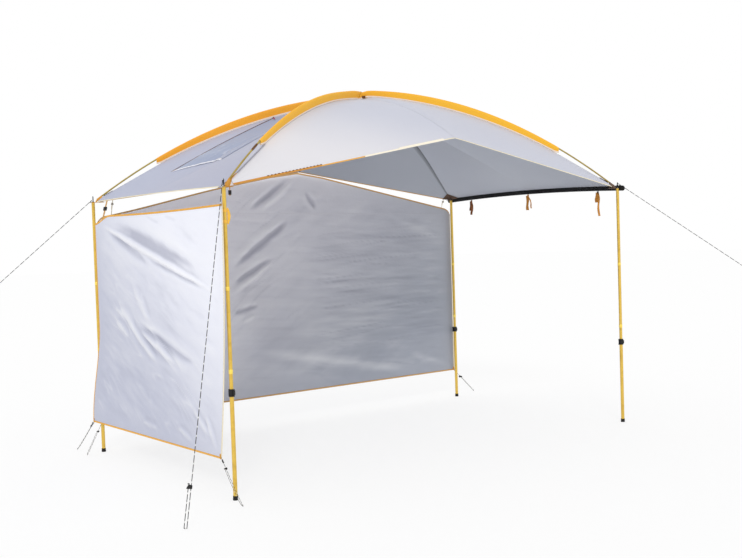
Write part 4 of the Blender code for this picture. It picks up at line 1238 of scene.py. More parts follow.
def buildRoof():
    threads, dashes = [], []
    for side, (first, second, outward) in roofSides.items():
        grid = roofGrid(side)
        look, node = roofFinish[side]
        panel = clothSheet(
            "roof" + side.capitalize(),
            grid,
            up,
            roofLook["thickness"],
            [look, roofUndersides.get(side, "roofInside")],
            slot="canopy_cloth",
            replaces=[node],
        )
        middle = len(grid[0]) // 2
        normals = gridNormals(grid, up)
        eave = gridEdge(grid, normals, "last")
        for number, (start, end, wide, colour) in enumerate(roofLook["eaves"][side]):
            part = [values[start : end + 1] for values in eave]
            builder = Builder()
            bindEdge(builder, part, wide, 0.0036)
            builder.piece(f"eaveBinding{side.capitalize()}{number}", [colour], slot="orange_webbing")
            if colour == "eaveBinding":
                dashes.append([p + n * 0.0022 for p, n in zip(edgeLine(part, wide * 0.72, 0), part[1])][5:])
            threads += [edgeLine(part, wide * 0.8, lift) for lift in (0.0021, -0.0021)]
        # Seams: the flat-felled seam down the middle of the front and back panels.
        if side in ("front", "back"):
            centres = [row[middle] + normals[j][middle] * 0.0009 for j, row in enumerate(grid)]
            lines = [normals[j][middle] for j in range(len(grid))]
            for lift, label, colour in ((0.0, "Top", look), (-0.0028, "Under", "seamTape")):
                builder = Builder()
                builder.ribbon([c + n * lift for c, n in zip(centres, lines)], xAxis, lines, 0.016, 0.0012)
                builder.piece("seam" + side.capitalize() + label, [colour], slot="canopy_cloth")
            threads += [
                [c + xAxis * 0.005 * way + n * 0.0009 for c, n in zip(centres, lines)] for way in (-1, 1)
            ]
    repeatAlong("roofStitches", threads, stitchPitch, stitches, "stitch", slot="canopy_cloth")
    repeatAlong("eaveTacks", dashes, 0.027, tacks, "clip", slot="orange_webbing")


buildRoof()


def archFrame(corner, s, rise):
    out = -inward(corner)
    slope = 2 * rise * s / halfDiagonal**2
    return out * s + up * (archHeight(s, rise) + archLift(corner, s)), up.cross(out), up * hypot(1, slope)


tapeLooks = ["seamTape", "tapeEdge", "shadeStripNear", "shadeStripMiddle", "shadeStripFar"]


def buildRidgeTapes():
    # Grey tape with dark edges lies on both panels under each ridge.
    threads = []
    for corner in corners:
        along = inward(corner)
        tape = Builder()
        for side, pair in roofSides.items():
            if corner not in pair[:2]:
                continue
            line, rim, acrosses, normals, wide = [], [], [], [], []
            shaded = (corner, side) == ("back_right", "back")
            for i in range(41):
                k = 0.01 + 0.92 * i / 40
                ridge = ridgePoint(corner, k)
                across = (roofPoint(side, corner, k, 0.04) - ridge).normalized()
                normal = across.cross(along)
                normal = normal if normal.z > 0 else -normal
                wide.append(mix(0.006, 0.034, ease(i / 34)))
                line.append(ridge + across * wide[-1] / 2 - normal * 0.0030)
                rim.append(ridge + across * (wide[-1] - 0.002) - normal * 0.0036)
                acrosses.append(across)
                normals.append(normal)
            if shaded:
                # Painted shade on the back panel: three grey strips, darker in steps towards the ridge.
                for slot, first, last in ((2, 0.0, 0.22), (3, 0.22, 0.6), (4, 0.6, 1.0)):
                    full = [mix(0.018, 0.078, i / 40) for i in range(41)]
                    strip = [
                        p + a * (f * (first + last) - w) / 2 for p, a, f, w in zip(line, acrosses, full, wide)
                    ]
                    tape.ribbon(strip, acrosses, normals, [f * (last - first) for f in full], 0.0016, slot)
                continue
            tape.ribbon(line, acrosses, normals, wide, 0.0016)
            tape.ribbon(rim, acrosses, normals, 0.0065, 0.0016, 1)
            threads.append([p - n * 0.0014 for p, n in zip(line, normals)])
        tape.piece("ridgeTape_" + corner, tapeLooks, slot="canopy_cloth")
    repeatAlong("ridgeStitches", threads, stitchPitch, stitches, "stitch", slot="canopy_cloth")
    # In the front left corner a pale flange stands on the ridge below the bare pole, with a grey
    # line along its foot.
    corner, count = "front_left", 24
    sideways = up.cross(inward(corner))
    centres, sections, foot = [], [], []
    for i in range(count + 1):
        s = mix(sleeveEnd - 0.14, ridgeEnd - 0.025, i / count)
        ridge = ridgePoint(corner, 1 - s / ridgeEnd)
        room = max(0.003, (archFrame(corner, s, rises[corner])[0] - ridge).z - 0.010)
        wave = 0.0012 * ripple(s * 17, 5.5, 2.9)
        ring = [
            (0.0010, 0.0), (0.0007 + wave, room * 0.5), (0.0006, room), (-0.0006, room),
            (-0.0007 + wave, room * 0.5), (-0.0010, 0.0),
        ]
        centres.append(ridge)
        sections.append([sideways * a + up * b for a, b in ring])
        foot.append(ridge + up * 0.0030 - sideways * 0.007)
    flange = Builder()
    flange.sweep(centres, sections)
    flange.piece("ridgeFlange", ["flange"], slot="canopy_cloth")
    line = Builder()
    bare = foot[5:-2]
    line.ribbon(bare, sideways, up, 0.010, 0.0016)
    line.piece("flangeTape", ["greyTape"], slot="canopy_cloth")


buildRidgeTapes()
print("roof ready")


# The vent hood, its zip and pull
ventLook = {
    "lift": 0.032,
    "top": 0.05,
    "bottom": 0.75,
    "front": 0.70,
    "reach": 0.3185,
    "pucker": 0.007,
    "toothPitch": 0.0042,
}


def ventPoint(t, v):
    # t runs from the back zip to the front edge, v from the crossing down to the open edge.
    signed = 1 - 2 * t
    corner = "back_left" if signed >= 0 else "front_left"
    k = 1 - ventLook["reach"] * abs(signed)
    down = mix(ventLook["top"], mix(ventLook["bottom"], ventLook["front"], t), v)
    rounded = sin(pi * t) ** 0.7
    lift = ventLook["lift"] * rounded * sin(pi * v**2.4)
    ruffle = ventLook["pucker"] * ripple(t * 11, v * 2, 3.1) * v**2 * (1 - v**8) * rounded
    ruffle += 0.0050 * ripple(t * 40, v * 5, 8.1) * v**7 * rounded
    thin = creases(t * 1.1, v, -0.5, 0.16, 0.05, 4.7) * ease((v - 0.45) / 0.4)
    lift += 0.004 * v**9 * rounded + 0.004 * thin * (1 - v**12)
    # The creases also drive the painted fold shade and highlight.
    return roofPoint("left", corner, k, down) + up * (0.0028 + lift + ruffle), thin


def buildVent():
    columns, rows = 110, 70
    grid, folds = placeGrid(ventPoint, columns, rows)
    hood = clothSheet(
        "ventHood", grid, up, 0.0014, ["ventCloth", "roofInside"], folds, slot="canopy_cloth",
        replaces=["vent_hood"],
    )
    normals = gridNormals(grid, up)
    lower = gridEdge(grid, normals, "last")
    builder = Builder()
    # The hem's near-white finish is a painted highlight along the hood's open edge.
    bindEdge(builder, lower, 0.019, 0.0034, proud=0.003)
    builder.piece("ventHem", ["ventLipHighlight"], slot="canopy_cloth")
    zipLine = gridEdge(grid, normals, "start")
    points, lines, into = zipLine
    builder = Builder()
    centres = [p + d * 0.002 + n * 0.0016 for p, n, d in zip(points, lines, into)]
    builder.ribbon(centres, into, lines, 0.021, 0.0012)
    builder.piece("ventZipTape", ["zipTape"], slot="orange_webbing")
    work = bmesh.new()
    bmesh.ops.create_cube(work, size=1)
    bmesh.ops.scale(work, vec=(0.0056, 0.0022, 0.0024), verts=work.verts)
    bmesh.ops.bevel(work, geom=work.edges[:], offset=0.0004, segments=1, affect="EDGES")
    tooth = bpy.data.meshes.new("tooth")
    work.to_mesh(tooth)
    work.free()
    teeth = [c + n * 0.0013 for c, n in zip(centres, lines)]
    repeatAlong("ventZipTeeth", [teeth], ventLook["toothPitch"], tooth, "plastic", slot="black_plastic")
    threads = [
        [c + d * 0.0055 * way + n * 0.0008 for c, n, d in zip(centres, lines, into)] for way in (-1, 1)
    ]
    threads.append(edgeLine(lower, 0.009, 0.002))
    repeatAlong("ventStitches", threads, stitchPitch, stitches, "darkStitch", slot="orange_webbing")
    # The slider stands at the top of the zip with its cord pull.
    at, out = centres[0], lines[0]
    ahead = (-up + yAxis * -0.55).normalized()
    ahead = (ahead - out * ahead.dot(out)).normalized()
    builder = Builder()
    builder.block(frameOf(at + out * 0.0045, ahead, out), (0.016, 0.012, 0.006), 0.25)
    builder.block(frameOf(at + out * 0.0085 + ahead * 0.012, ahead, out), (0.024, 0.006, 0.004), 0.3)
    builder.piece("zipSlider", ["plastic"], slot="black_plastic")
    pull = Builder()
    route = smoothRoute(
        [at + out * 0.009 + ahead * 0.022, at + out * 0.012 + ahead * 0.03, at + out * 0.009 + ahead * 0.04],
        0.003,
    )
    pull.tube(route, 0.002, 8)
    pull.block(frameOf(route[-1] + ahead * 0.006, ahead, out), (0.020, 0.012, 0.006), 0.3)
    pull.piece("zipPull", ["redPull"], slot="black_plastic")


buildVent()
print("vent ready")


# Sleeves and arch poles
sleeveLook = {
    "rings": 90,
    "cloth": 0.0009,
    "hem": 0.010,
    "ripple": 0.0016,
    "taper": 0.07,
    "mouth": 0.022,
    "overlap": 0.060,
}


def sleeveOutline(depth, swell):
    # Half of the drop shape, from over the pole down to the seam.
    top = awning["sleeveTop"] - 0.0002
    turns = [radians(90 - 15 * i) for i in range(7)]
    half = [(top * cos(a), top * sin(a)) for a in turns]
    for i in range(1, 11):
        t = i / 10
        half.append((mix(top, 0.0022, ease(t * 1.1)) + swell * sin(pi * t), -depth * t))
    return half


def clothDepth(s, rise):
    # The cloth runs out to a point at its mouths, and over the lower sleeve at the crossing.
    full = sleeveDepth(s, rise) - 0.0006
    depth = mix(sleeveLook["mouth"], full, ease((sleeveEnd + 0.03 - abs(s)) / sleeveLook["taper"]) ** 0.7)
    if rise == upperRise:
        depth = min(depth, mix(0.0125, full, ease((abs(s) - 0.018) / 0.045)))
    return depth


def buildSleeve(name, corner, rise, start, end, node):
    rings = max(12, round(sleeveLook["rings"] * abs(end - start) / 3.3))
    inset = sleeveLook["cloth"]
    outer, inner, centres = [], [], []
    for i in range(rings + 1):
        s = mix(start, end, i / rings)
        centre, sideways, upright = archFrame(corner, s, rise)
        depth = clothDepth(s, rise)
        swell = sleeveLook["ripple"] * ripple(s * 6, rise * 9, 1.7)
        swell += 0.0008 * ripple(s * 23, rise * 9, 5.7)
        lean = 0.0016 * ripple(s * 4, 2.2, rise)
        flare = 0.0022 * (1 - ease(min(i, rings - i) / 4))
        half = sleeveOutline(depth, max(0.0, swell) + 0.0012)
        outline = half + [(-a, b) for a, b in reversed(half[1:])]
        ringOut, ringIn = [], []
        for a, b in outline:
            bias = lean * ease(-b / depth)
            ringOut.append(sideways * (a * (1 + flare / 0.008) + bias) + upright * b)
            held = b * (1 - inset / 0.05) if b < 0 else b - inset * b / awning["sleeveTop"]
            ringIn.append(sideways * (a * 0.86 + bias) + upright * held)
        outer.append(ringOut)
        inner.append(ringIn)
        centres.append(centre)
    builder = Builder()
    builder.sweep(centres + centres[::-1], outer + inner[::-1], closed=True)
    piece = builder.piece(name, ["sleeve"], slot="sleeve_cloth", replaces=[node])
    # The hem is the doubled cloth along the bottom, sewn to the roof.
    hem = Builder()
    steps = [i for i in range(rings + 1) if rise < upperRise or abs(mix(start, end, i / rings)) > 0.05]
    for way in (-1, 1):
        middles, acrosses, sides = [], [], []
        for i in steps:
            s = mix(start, end, i / rings)
            centre, sideways, upright = archFrame(corner, s, rise)
            depth = clothDepth(s, rise)
            t = 1 - sleeveLook["hem"] / 2 / depth
            wide = mix(awning["sleeveTop"], 0.0022, ease(t * 1.1)) + 0.0022
            middles.append(centre + sideways * (wide + 0.0004) * way - upright * depth * t)
            acrosses.append(upright.normalized())
            sides.append(sideways * way)
        hem.ribbon(middles, acrosses, sides, sleeveLook["hem"], 0.0014)
    hem.piece(name + "Hem", ["sleeveHem"], slot="sleeve_cloth")


buildSleeve("sleeveLower", "front_right", awning["archRise"], -sleeveEnd, sleeveEnd, "sleeve_lower_arch")
overlap = sleeveLook["overlap"]
buildSleeve(
    "sleeveUpperFront", "front_left", upperRise, -overlap, sleeveEnd + 0.03, "sleeve_upper_arch_front"
)
buildSleeve("sleeveUpperBack", "back_right", upperRise, overlap + 0.003, sleeveEnd, "sleeve_upper_arch_back")


poles = {
    # The tip and the shoulder, measured from the leg.
    "tipInset": 0.0365,
    "shoulderInset": 0.0723,
    "tipRadius": 0.0042,
    "neckRadius": 0.0044,
    "rings": 150,
    "sag": 0.009,
    "sagReach": 0.08,
    "ferrules": (-1.94, -1.3, -0.66, -0.12, 0.12, 0.66, 1.3, 1.94),
    "ferruleHalf": 0.02,
}


def buildPoles():
    end, shoulder = halfDiagonal - poles["tipInset"], halfDiagonal - poles["shoulderInset"]
    count = poles["rings"]
    for level, corner in (("Lower", "front_right"), ("Upper", "back_right")):
        rise = rises[corner]
        sag = poles["sag"] if rise < upperRise else 0.0
        centres = []
        for i in range(count + 1):
            s = mix(-shoulder, shoulder, i / count)
            # The lower pole passes clear below the upper one.
            dip = sag * bell(s / poles["sagReach"])
            centres.append(archFrame(corner, s, rise)[0] - up * dip)
        tips = [archFrame(corner, way * end, rise)[0] for way in (-1, 1)]
        necks = [archFrame(corner, way * (shoulder + 0.002), rise)[0] for way in (-1, 1)]
        thin = [poles["tipRadius"], poles["neckRadius"]]
        sizes = thin + [awning["poleRadius"] - 0.0001] * len(centres) + thin[::-1]
        builder = Builder()
        builder.tube([tips[0], necks[0]] + centres + [necks[1], tips[1]], sizes, 20)
        # Ferrules where the pole's sections plug together.
        for s in poles["ferrules"]:
            if abs(s) < shoulder:
                a = archFrame(corner, s - poles["ferruleHalf"], rise)[0]
                b = archFrame(corner, s + poles["ferruleHalf"], rise)[0]
                builder.tube([a, a.lerp(b, 0.5), b], awning["poleRadius"] + 0.00012, 20)
        node = "arch_pole_" + level.lower()
        builder.piece("archPole" + level, ["pole"], slot="gold_tube", replaces=[node])


buildPoles()
print("arches ready")


# Legs
leg = {
    "wall": 0.0012,
    "joint": 1.34,
    "swage": 0.81,
    "swageLength": 0.03,
    "bead": 0.0007,
    "spigot": 0.08,
    "innerRadius": 0.0124,
    "innerEnd": 0.24,
    "outerWall": 0.0013,
    "outerTop": 0.69,
    "spikeRadius": 0.004,
    "spikeLength": 0.053,
    "cap": 0.0118,
    "footRadius": 0.0165,
    "footHeight": 0.028,
    "clampRadius": 0.020,
    "clampHalf": 0.024,
    "hinge": 0.026,
    "leverArc": 118,
    "turns": {"front_left": -90, "back_left": -60, "front_right": 180, "back_right": 180},
}


def movedPiece(builder, matrix, name, looks, **extra):
    builder.points = [matrix @ p for p in builder.points]
    return builder.piece(name, looks, **extra)


def legTubes(corner, at):
    r, wall, bead = tubeRadius, leg["wall"], tubeRadius + leg["bead"]
    joint, inside, foot = leg["joint"], leg["innerRadius"], leg["footHeight"]
    bore, spike = r - wall, leg["spikeRadius"]
    cap, peak = legTop - leg["cap"], legTop + leg["spikeLength"]
    top = Builder()
    tube = [(bore, legTop - 0.02), (bore, joint), (bead, joint), (bead, joint + 0.0145), (r, joint + 0.0152)]
    top.lathe(tube + [(r, legTop - 0.012), (r - 0.0003, cap), (bore, cap)], at)
    rim = r + 0.0001
    top.lathe([(bore, cap), (rim, cap), (rim, legTop - 0.0012), (r - 0.0012, legTop), (spike, legTop)], at)
    tip = [(spike, legTop), (spike, peak - 0.010), (spike * 0.8, peak - 0.006), (0.0012, peak)]
    top.lathe(tip, at, 24, slot=2)
    proud, under = bead + 0.0005, r - 0.0002
    ring = [(bead, joint + 0.002), (proud, joint + 0.003), (proud, joint + 0.026), (bead, joint + 0.027)]
    top.lathe(ring + [(under, joint + 0.027), (under, joint + 0.002)], at, slot=1, closed=True)
    top.piece(
        "legTop_" + corner, ["gold", "brightGold", "plastic"], slot="gold_tube",
        replaces=["leg_top_section_" + corner],
    )
    neck = r - wall - fit
    inner = Builder()
    swage, long = leg["swage"], leg["swageLength"]
    spigot, end = joint + leg["spigot"], leg["innerEnd"]
    profile = [
        (neck - wall, spigot), (neck - wall, end), (inside, end), (inside, swage), (bead, swage + 0.001)
    ]
    profile += [(bead, swage + long), (r, swage + long + leg["bead"]), (r, joint - fit), (neck, joint - fit)]
    profile += [(neck, spigot)]
    inner.lathe(profile, at, closed=True)
    # A spring button above the swage.
    button = at + Vector((corners[corner][0] * -r * 0.95, 0, swage + 0.11))
    dome = [(0.0032, -0.002), (0.0032, 0.0008), (0.0026, 0.0016), (0.0012, 0.0020)]
    inner.lathe(dome, button, 16, 1, axis=xAxis * -corners[corner][0])
    low, high = swage + 0.002, swage + long - 0.001
    rim, proud, under = bead + 0.0001, bead + 0.0006, r - 0.0003
    band = [
        (rim, low), (proud, swage + 0.003), (proud, swage + long - 0.002), (rim, high), (under, high),
        (under, low),
    ]
    inner.lathe(band, at, slot=2, closed=True)
    inner.piece(
        "legInner_" + corner, ["gold", "steel", "brightGold"], slot="gold_tube",
        replaces=["leg_inner_section_" + corner],
    )
    bore, outer = inside + fit, inside + fit + leg["outerWall"]
    high, low = leg["outerTop"], 0.0123
    lower = Builder()
    lower.lathe([(bore, high), (bore, low), (outer, low), (outer, high)], at, closed=True)
    lower.piece(
        "legLower_" + corner, ["gold"], body="lower_leg_" + corner, slot="gold_tube",
        replaces=["leg_lower_tube_" + corner],
    )
    rubber = Builder()
    cup, rim, side = outer + fit, leg["footRadius"] + 0.0006, leg["footRadius"]
    profile = [(cup, 0.012), (cup, foot), (side - 0.0008, foot), (side, foot - 0.0008)]
    groove = side - 0.0009
    for i in range(3):
        z = foot - 0.0048 - 0.0042 * i
        profile += [(side, z + 0.0014), (groove, z + 0.0006), (groove, z - 0.0006), (side, z - 0.0014)]
    profile += [(side, 0.013), (rim, 0.0105), (rim, 0.0012), (rim - 0.0010, 0)]
    rubber.lathe(profile, at)
    rubber.piece(
        "legFoot_" + corner, ["rubber"], body="lower_leg_" + corner, slot="foot_rubber",
        replaces=["leg_foot_" + corner],
    )


def legClamp(corner, at):
    turned = Matrix.Rotation(radians(leg["turns"][corner]), 4, "Z")
    turn = Matrix.Translation(at + up * leg["outerTop"]) @ turned
    guide = leg["innerRadius"] + fit
    grip = guide + leg["outerWall"] + fit
    high, radius = leg["clampHalf"], leg["clampRadius"]
    edge = radius - 0.0013
    clamp = Builder()
    profile = [(guide, fit), (grip, fit), (grip, -high), (edge, -high), (radius, -high + 0.0013)]
    for z in (-0.019, -0.0165, 0.0165, 0.019):
        profile += [(radius, z - 0.0007), (radius - 0.0006, z), (radius, z + 0.0007)]
    profile += [(radius, high - 0.0013), (edge, high), (guide, high)]
    clamp.lathe(profile, closed=True)
    hinge = xAxis * leg["hinge"]
    slotHigh = high - 0.0013 - 0.007
    for way in (-1, 1):
        centre = way * (slotHigh + 0.0035)
        clamp.block(Matrix.Translation(Vector((0.0222, 0, centre))), (0.0092, 0.0136, 0.0068), 0.12)
        barrel = [(0.0056, -0.0034), (0.0066, -0.0026), (0.0066, 0.0026), (0.0056, 0.0034)]
        clamp.lathe([(size, centre + z) for size, z in barrel], hinge, 28)
        top = centre + way * 0.0034
        clamp.lathe([(0.0030, top), (0.0030, top + way * 0.0009), (0.0016, top + way * 0.0013)], hinge, 20, 1)
    movedPiece(
        clamp, turn, "legClamp_" + corner, ["plastic", "steel"], body="lower_leg_" + corner,
        slot="black_plastic", replaces=["leg_clamp_" + corner],
    )
    lever = Builder()
    half = slotHigh - fit
    barrel = [(0.0034, -half), (0.0042, -half + 0.0008), (0.0042, half - 0.0008), (0.0034, half)]
    lever.lathe(barrel, hinge, 28)
    inside = radius + 2 * fit
    centres, sections = [], []
    for i in range(31):
        angle = radians(2 + leg["leverArc"] * i / 30)
        lift = 0.0022 * max(0.0, i / 10 - 2)
        out = Vector((cos(angle), sin(angle), 0))
        tall = half * (1 - 0.12 * max(0.0, (i - 24) / 6) ** 2)
        a, b = inside + lift, inside + lift + 0.0032
        ring = [
            (a, 0.001 - tall), (a + 0.0006, -tall), (b - 0.0012, -tall), (b, 0.0012 - tall),
            (b, tall - 0.0012), (b - 0.0012, tall), (a + 0.0006, tall), (a, tall - 0.001),
        ]
        centres.append(out * a)
        sections.append([out * (r - a) + up * z for r, z in ring])
    lever.sweep(centres, sections)
    for i in range(5):
        angle = radians(96 + 5 * i)
        lift = 0.0022 * max(0.0, (96 + 5 * i - 2) / leg["leverArc"] * 3 - 2)
        out = Vector((cos(angle), sin(angle), 0))
        lever.block(frameOf(out * (inside + lift + 0.0032), up, out), (half * 1.5, 0.0011, 0.0012), 0.3)
    movedPiece(
        lever, turn, "clampLever_" + corner, ["plastic"], body="lever_" + corner, slot="black_plastic",
        replaces=["clamp_lever_" + corner],
    )


for corner in corners:
    legTubes(corner, cornerPoint(corner))
    legClamp(corner, cornerPoint(corner))
print("legs ready")


# Canopy corners
pocket = {
    "start": 0.020,
    "end": 0.072,
    "halfWidth": 0.011,
    "plateLength": 0.085,
    "plateThick": 0.003,
}


def buildPocket(corner):
    along = inward(corner)
    sideways = up.cross(along)
    rise = rises[corner]
    base = cornerPoint(corner) + up * legTop
    right = corner.endswith("right")

    def at(x, z, y=0.0):
        return base + along * x + up * z + sideways * y

    def axisHeight(x):
        return archHeight(halfDiagonal - x, rise) - legTop

    builder = Builder()
    xs = [0.006, 0.012, 0.02, 0.03, 0.045, 0.06, 0.075, pocket["plateLength"]]
    flat = fit + pocket["plateThick"] / 2
    widths = [0.024, 0.030, 0.036, 0.040, 0.043, 0.044, 0.044, 0.044]
    thin = pocket["plateThick"] / 2
    sections = []
    for width in widths:
        w = width / 2
        shape = [(-w, 0), (thin - w, -thin), (w - thin, -thin), (w, 0), (w - thin, thin), (thin - w, thin)]
        sections.append([sideways * a + up * b for a, b in shape])
    builder.sweep([at(x, flat) for x in xs], sections)
    low, high = flat - thin, flat + thin
    eye = [(0.0046, low), (0.0125, low), (0.0135, flat), (0.0125, high), (0.0046, high)]
    builder.lathe(eye, at(0, 0), 32, closed=True)
    # The pocket over the pole's tip: three layers of webbing with a raised tunnel.
    centres, sections = [], []
    for i in range(13):
        x = mix(pocket["start"], pocket["end"], i / 12)
        tall = axisHeight(x) + 0.0045 + 0.0038 - fit - 0.003
        squeeze = 1 - 0.5 * (1 - ease(i / 3))
        ring = []
        for j in range(17):
            angle = pi * j / 16
            ring.append(sideways * pocket["halfWidth"] * cos(angle) + up * tall * squeeze * sin(angle) ** 0.8)
        centres.append(at(x, fit + 0.0029))
        sections.append(ring)
    builder.sweep(centres, sections)
    for x in (pocket["end"] - 0.004, pocket["start"] + 0.012):
        tall = axisHeight(x) + 0.0046
        wide, turns = pocket["halfWidth"] + 0.0004, [pi * j / 16 for j in range(17)]
        hoop = [at(x, fit + 0.003 + max(0.0, tall) * sin(a), wide * cos(a)) for a in turns]
        out = [(p - at(x, 0.003)).normalized() for p in hoop]
        builder.ribbon(hoop, along, out, 0.006, 0.0012, 1)
    look = "gusset" if right else "webbing"
    builder.piece(
        "cornerPocket_" + corner, [look, look], slot="orange_webbing",
        replaces=["corner_pocket_" + corner],
    )
    eyelet = Builder()
    z = fit + pocket["plateThick"]
    ring = [
        (0.0046, z - 0.002), (0.0046, z + 0.0010), (0.0060, z + 0.0016), (0.0086, z + 0.0010),
        (0.0094, z),
    ]
    eyelet.lathe(ring, at(0, 0), 32)
    eyelet.piece("cornerEyelet_" + corner, ["steel"], slot="black_plastic")
    # A webbing tongue joins the plate to the roof's corner, and a patch spreads the pull.
    tongue = Builder()
    top = []
    for i in range(12):
        x = mix(0.066, 0.155, i / 11)
        if x < awning["ridgeCut"]:
            rising = ease((x - 0.066) / (awning["ridgeCut"] - 0.066))
            top.append(at(x, mix(fit + 0.004, ridgePoint(corner, 0).z - legTop + 0.0032, rising)))
        else:
            top.append(ridgePoint(corner, (x - awning["ridgeCut"]) / ridgeEnd) + up * 0.0034)
    tongue.ribbon(top, sideways, up, 0.018, 0.0016)
    tongue.piece(
        "cornerTongue_" + corner, ["webbing" if corner == "front_left" else "gusset"],
        slot="orange_webbing",
    )
    # Cloth fills the corner between the leg's plate, the ridge and both eaves.
    for side, pair in roofSides.items():
        if corner in pair[:2]:
            near = at(0.02 if right else 0.05, 0.006)
            share = 0.012 if right else 0.004
            ends = [ridgePoint(corner, share) - up * 0.004, eavePoint(side, corner, share * 2) - up * 0.004]
            edges = [[near.lerp(far, mix(0.05, 1.0, i / 8)) for i in range(9)] for far in ends]
            grid = [[a.lerp(b, j / 6) for j in range(7)] for a, b in zip(*edges)]
            look = "gusset" if right else roofFinish[side][0]
            clothSheet(f"gusset_{corner}_{side}", grid, up, 0.0014, [look, look], slot="orange_webbing")
    if corner != "front_left":
        return
    # A clip on a short tab holds the ridge to the bare pole beside the sleeve's mouth.
    s = sleeveEnd + 0.105
    centre, side, upright = archFrame(corner, s, rise)
    ridge = ridgePoint(corner, 1 - s / ridgeEnd) + up * 0.002
    outer = awning["poleRadius"] + 0.0006
    steps = [ridge.lerp(centre - up * (outer + 0.002), i / 6) - side * 0.003 for i in range(7)]
    tab = Builder()
    tab.ribbon(steps, side.cross(up), side, 0.012, 0.0014)
    tab.piece("poleTab", ["blackWebbing"], slot="orange_webbing")
    clip = Builder()
    held = [archFrame(corner, s + mix(-0.036, 0.036, i / 8), rise)[0] for i in range(9)]
    clip.tube(held, [outer + 0.0012 * sin(pi * (i + 0.6) / 9.2) for i in range(9)], 20)
    clip.piece("poleClip", ["clip"], slot="black_plastic")


for corner in corners:
    buildPocket(corner)
print("corners ready")


# Vehicle strip and ties
strip = {
    "height": 0.044,
    "thickness": 0.004,
    "overhang": 0.065,
    "ties": {1: (0.78, 0.145), 2: (0.0, 0.145), 3: (-0.84, 0.215)},
    "band": 0.011,
    "topBar": 0.022,
    # Each tail: side, width, share of the tie's length, spread at its end and twist in degrees.
    "tails": {
        1: [(-1, 0.023, 1.0, 0.006, 50), (1, 0.021, 0.72, 0.012, 40)],
        2: [(-1, 0.012, 0.90, -0.034, 60), (1, 0.027, 1.0, 0.006, 35)],
        3: [(-1, 0.019, 1.0, -0.002, 55), (1, 0.030, 0.45, 0.010, 40)],
    },
}


def stripInner():
    return spanX / 2 + tubeRadius + 2 * fit


def buildStrip():
    end = spanY / 2 + strip["overhang"]
    half, thin = strip["height"] / 2, strip["thickness"] / 2
    x = stripInner() + thin
    centres, sections = [], []
    ys = [-end + half * (1 - cos(pi * i / 16)) for i in range(9)]
    ys += [mix(-end + half, end - half, i / 60) for i in range(1, 60)] + [-y for y in reversed(ys)]
    for y in ys:
        inset = max(0.0, abs(y) - (end - half)) / half
        tall = half * sqrt(max(0.004, 1 - inset * inset))
        wave = 0.0006 * ripple(y * 7, 1.1, 2.2)
        soft = min(0.0009, tall * 0.4)
        near, high = thin - soft, tall - soft
        shape = [
            (-thin, -high), (-near, -tall), (near, -tall), (thin, -high), (thin, high), (near, tall),
            (-near, tall), (-thin, high),
        ]
        centres.append(Vector((x + wave, y, stripHeight(y))))
        sections.append([xAxis * a + up * b for a, b in shape])
    builder = Builder()
    builder.sweep(centres, sections)
    builder.piece("vehicleStrip", ["blackWebbing"], slot="strip_webbing", replaces=["vehicle_strip"])
    lines = []
    for z in (half - 0.004, 0.004 - half):
        for way in (-1, 1):
            lines.append([Vector((x + way * (thin + 0.0002), y, stripHeight(y) + z)) for y in ys[10:-10]])
    repeatAlong("stripStitches", lines, stitchPitch, stitches, "greyTape", slot="strip_webbing")
    for number, (y, long) in strip["ties"].items():
        slope = abs(stripHeight(y + strip["band"]) - stripHeight(y))
        hinge = Vector((x, y, stripHeight(y) - half - hypot(0.001, 0.001) - slope - fit))
        buildTie(number, hinge, long)


def buildTie(number, hinge, long):
    # The folded head, sewn through, and below it two tails that twist as they hang.
    builder = Builder()
    band, bar = strip["band"], strip["topBar"]
    head = [hinge - up * (bar * i / 8) for i in range(9)]
    builder.ribbon(head, yAxis, xAxis, band * 2, 0.0022, 1 if number == 3 else 0)
    for way, width, share, spread, turn in strip["tails"][number]:
        points, acrosses, normals = [], [], []
        for i in range(29):
            t = i / 28
            z = -mix(bar * 0.5, long * share, t)
            out = spread * ease(t * 1.3) + 0.004 * sin(t * 7 + number)
            angle = radians(turn) * ease(t * 1.6) + 0.5 * sin(t * 6 + way)
            sway = xAxis * 0.004 * sin(t * 5 + way + number) * t
            points.append(hinge + up * z + yAxis * (0.006 * way + out) + sway)
            across = (yAxis * cos(angle) - xAxis * sin(angle)).normalized()
            acrosses.append(across)
            normals.append(across.cross(up))
        builder.ribbon(points, acrosses, normals, width, 0.0014)
    look = "darkTie" if number == 1 else "tie"
    builder.piece(
        f"tie_{number}", [look, "blackWebbing"], body=f"tie_{number}", slot="orange_webbing",
        replaces=[f"strip_tie_{number}"],
    )


buildStrip()
print("strip ready")


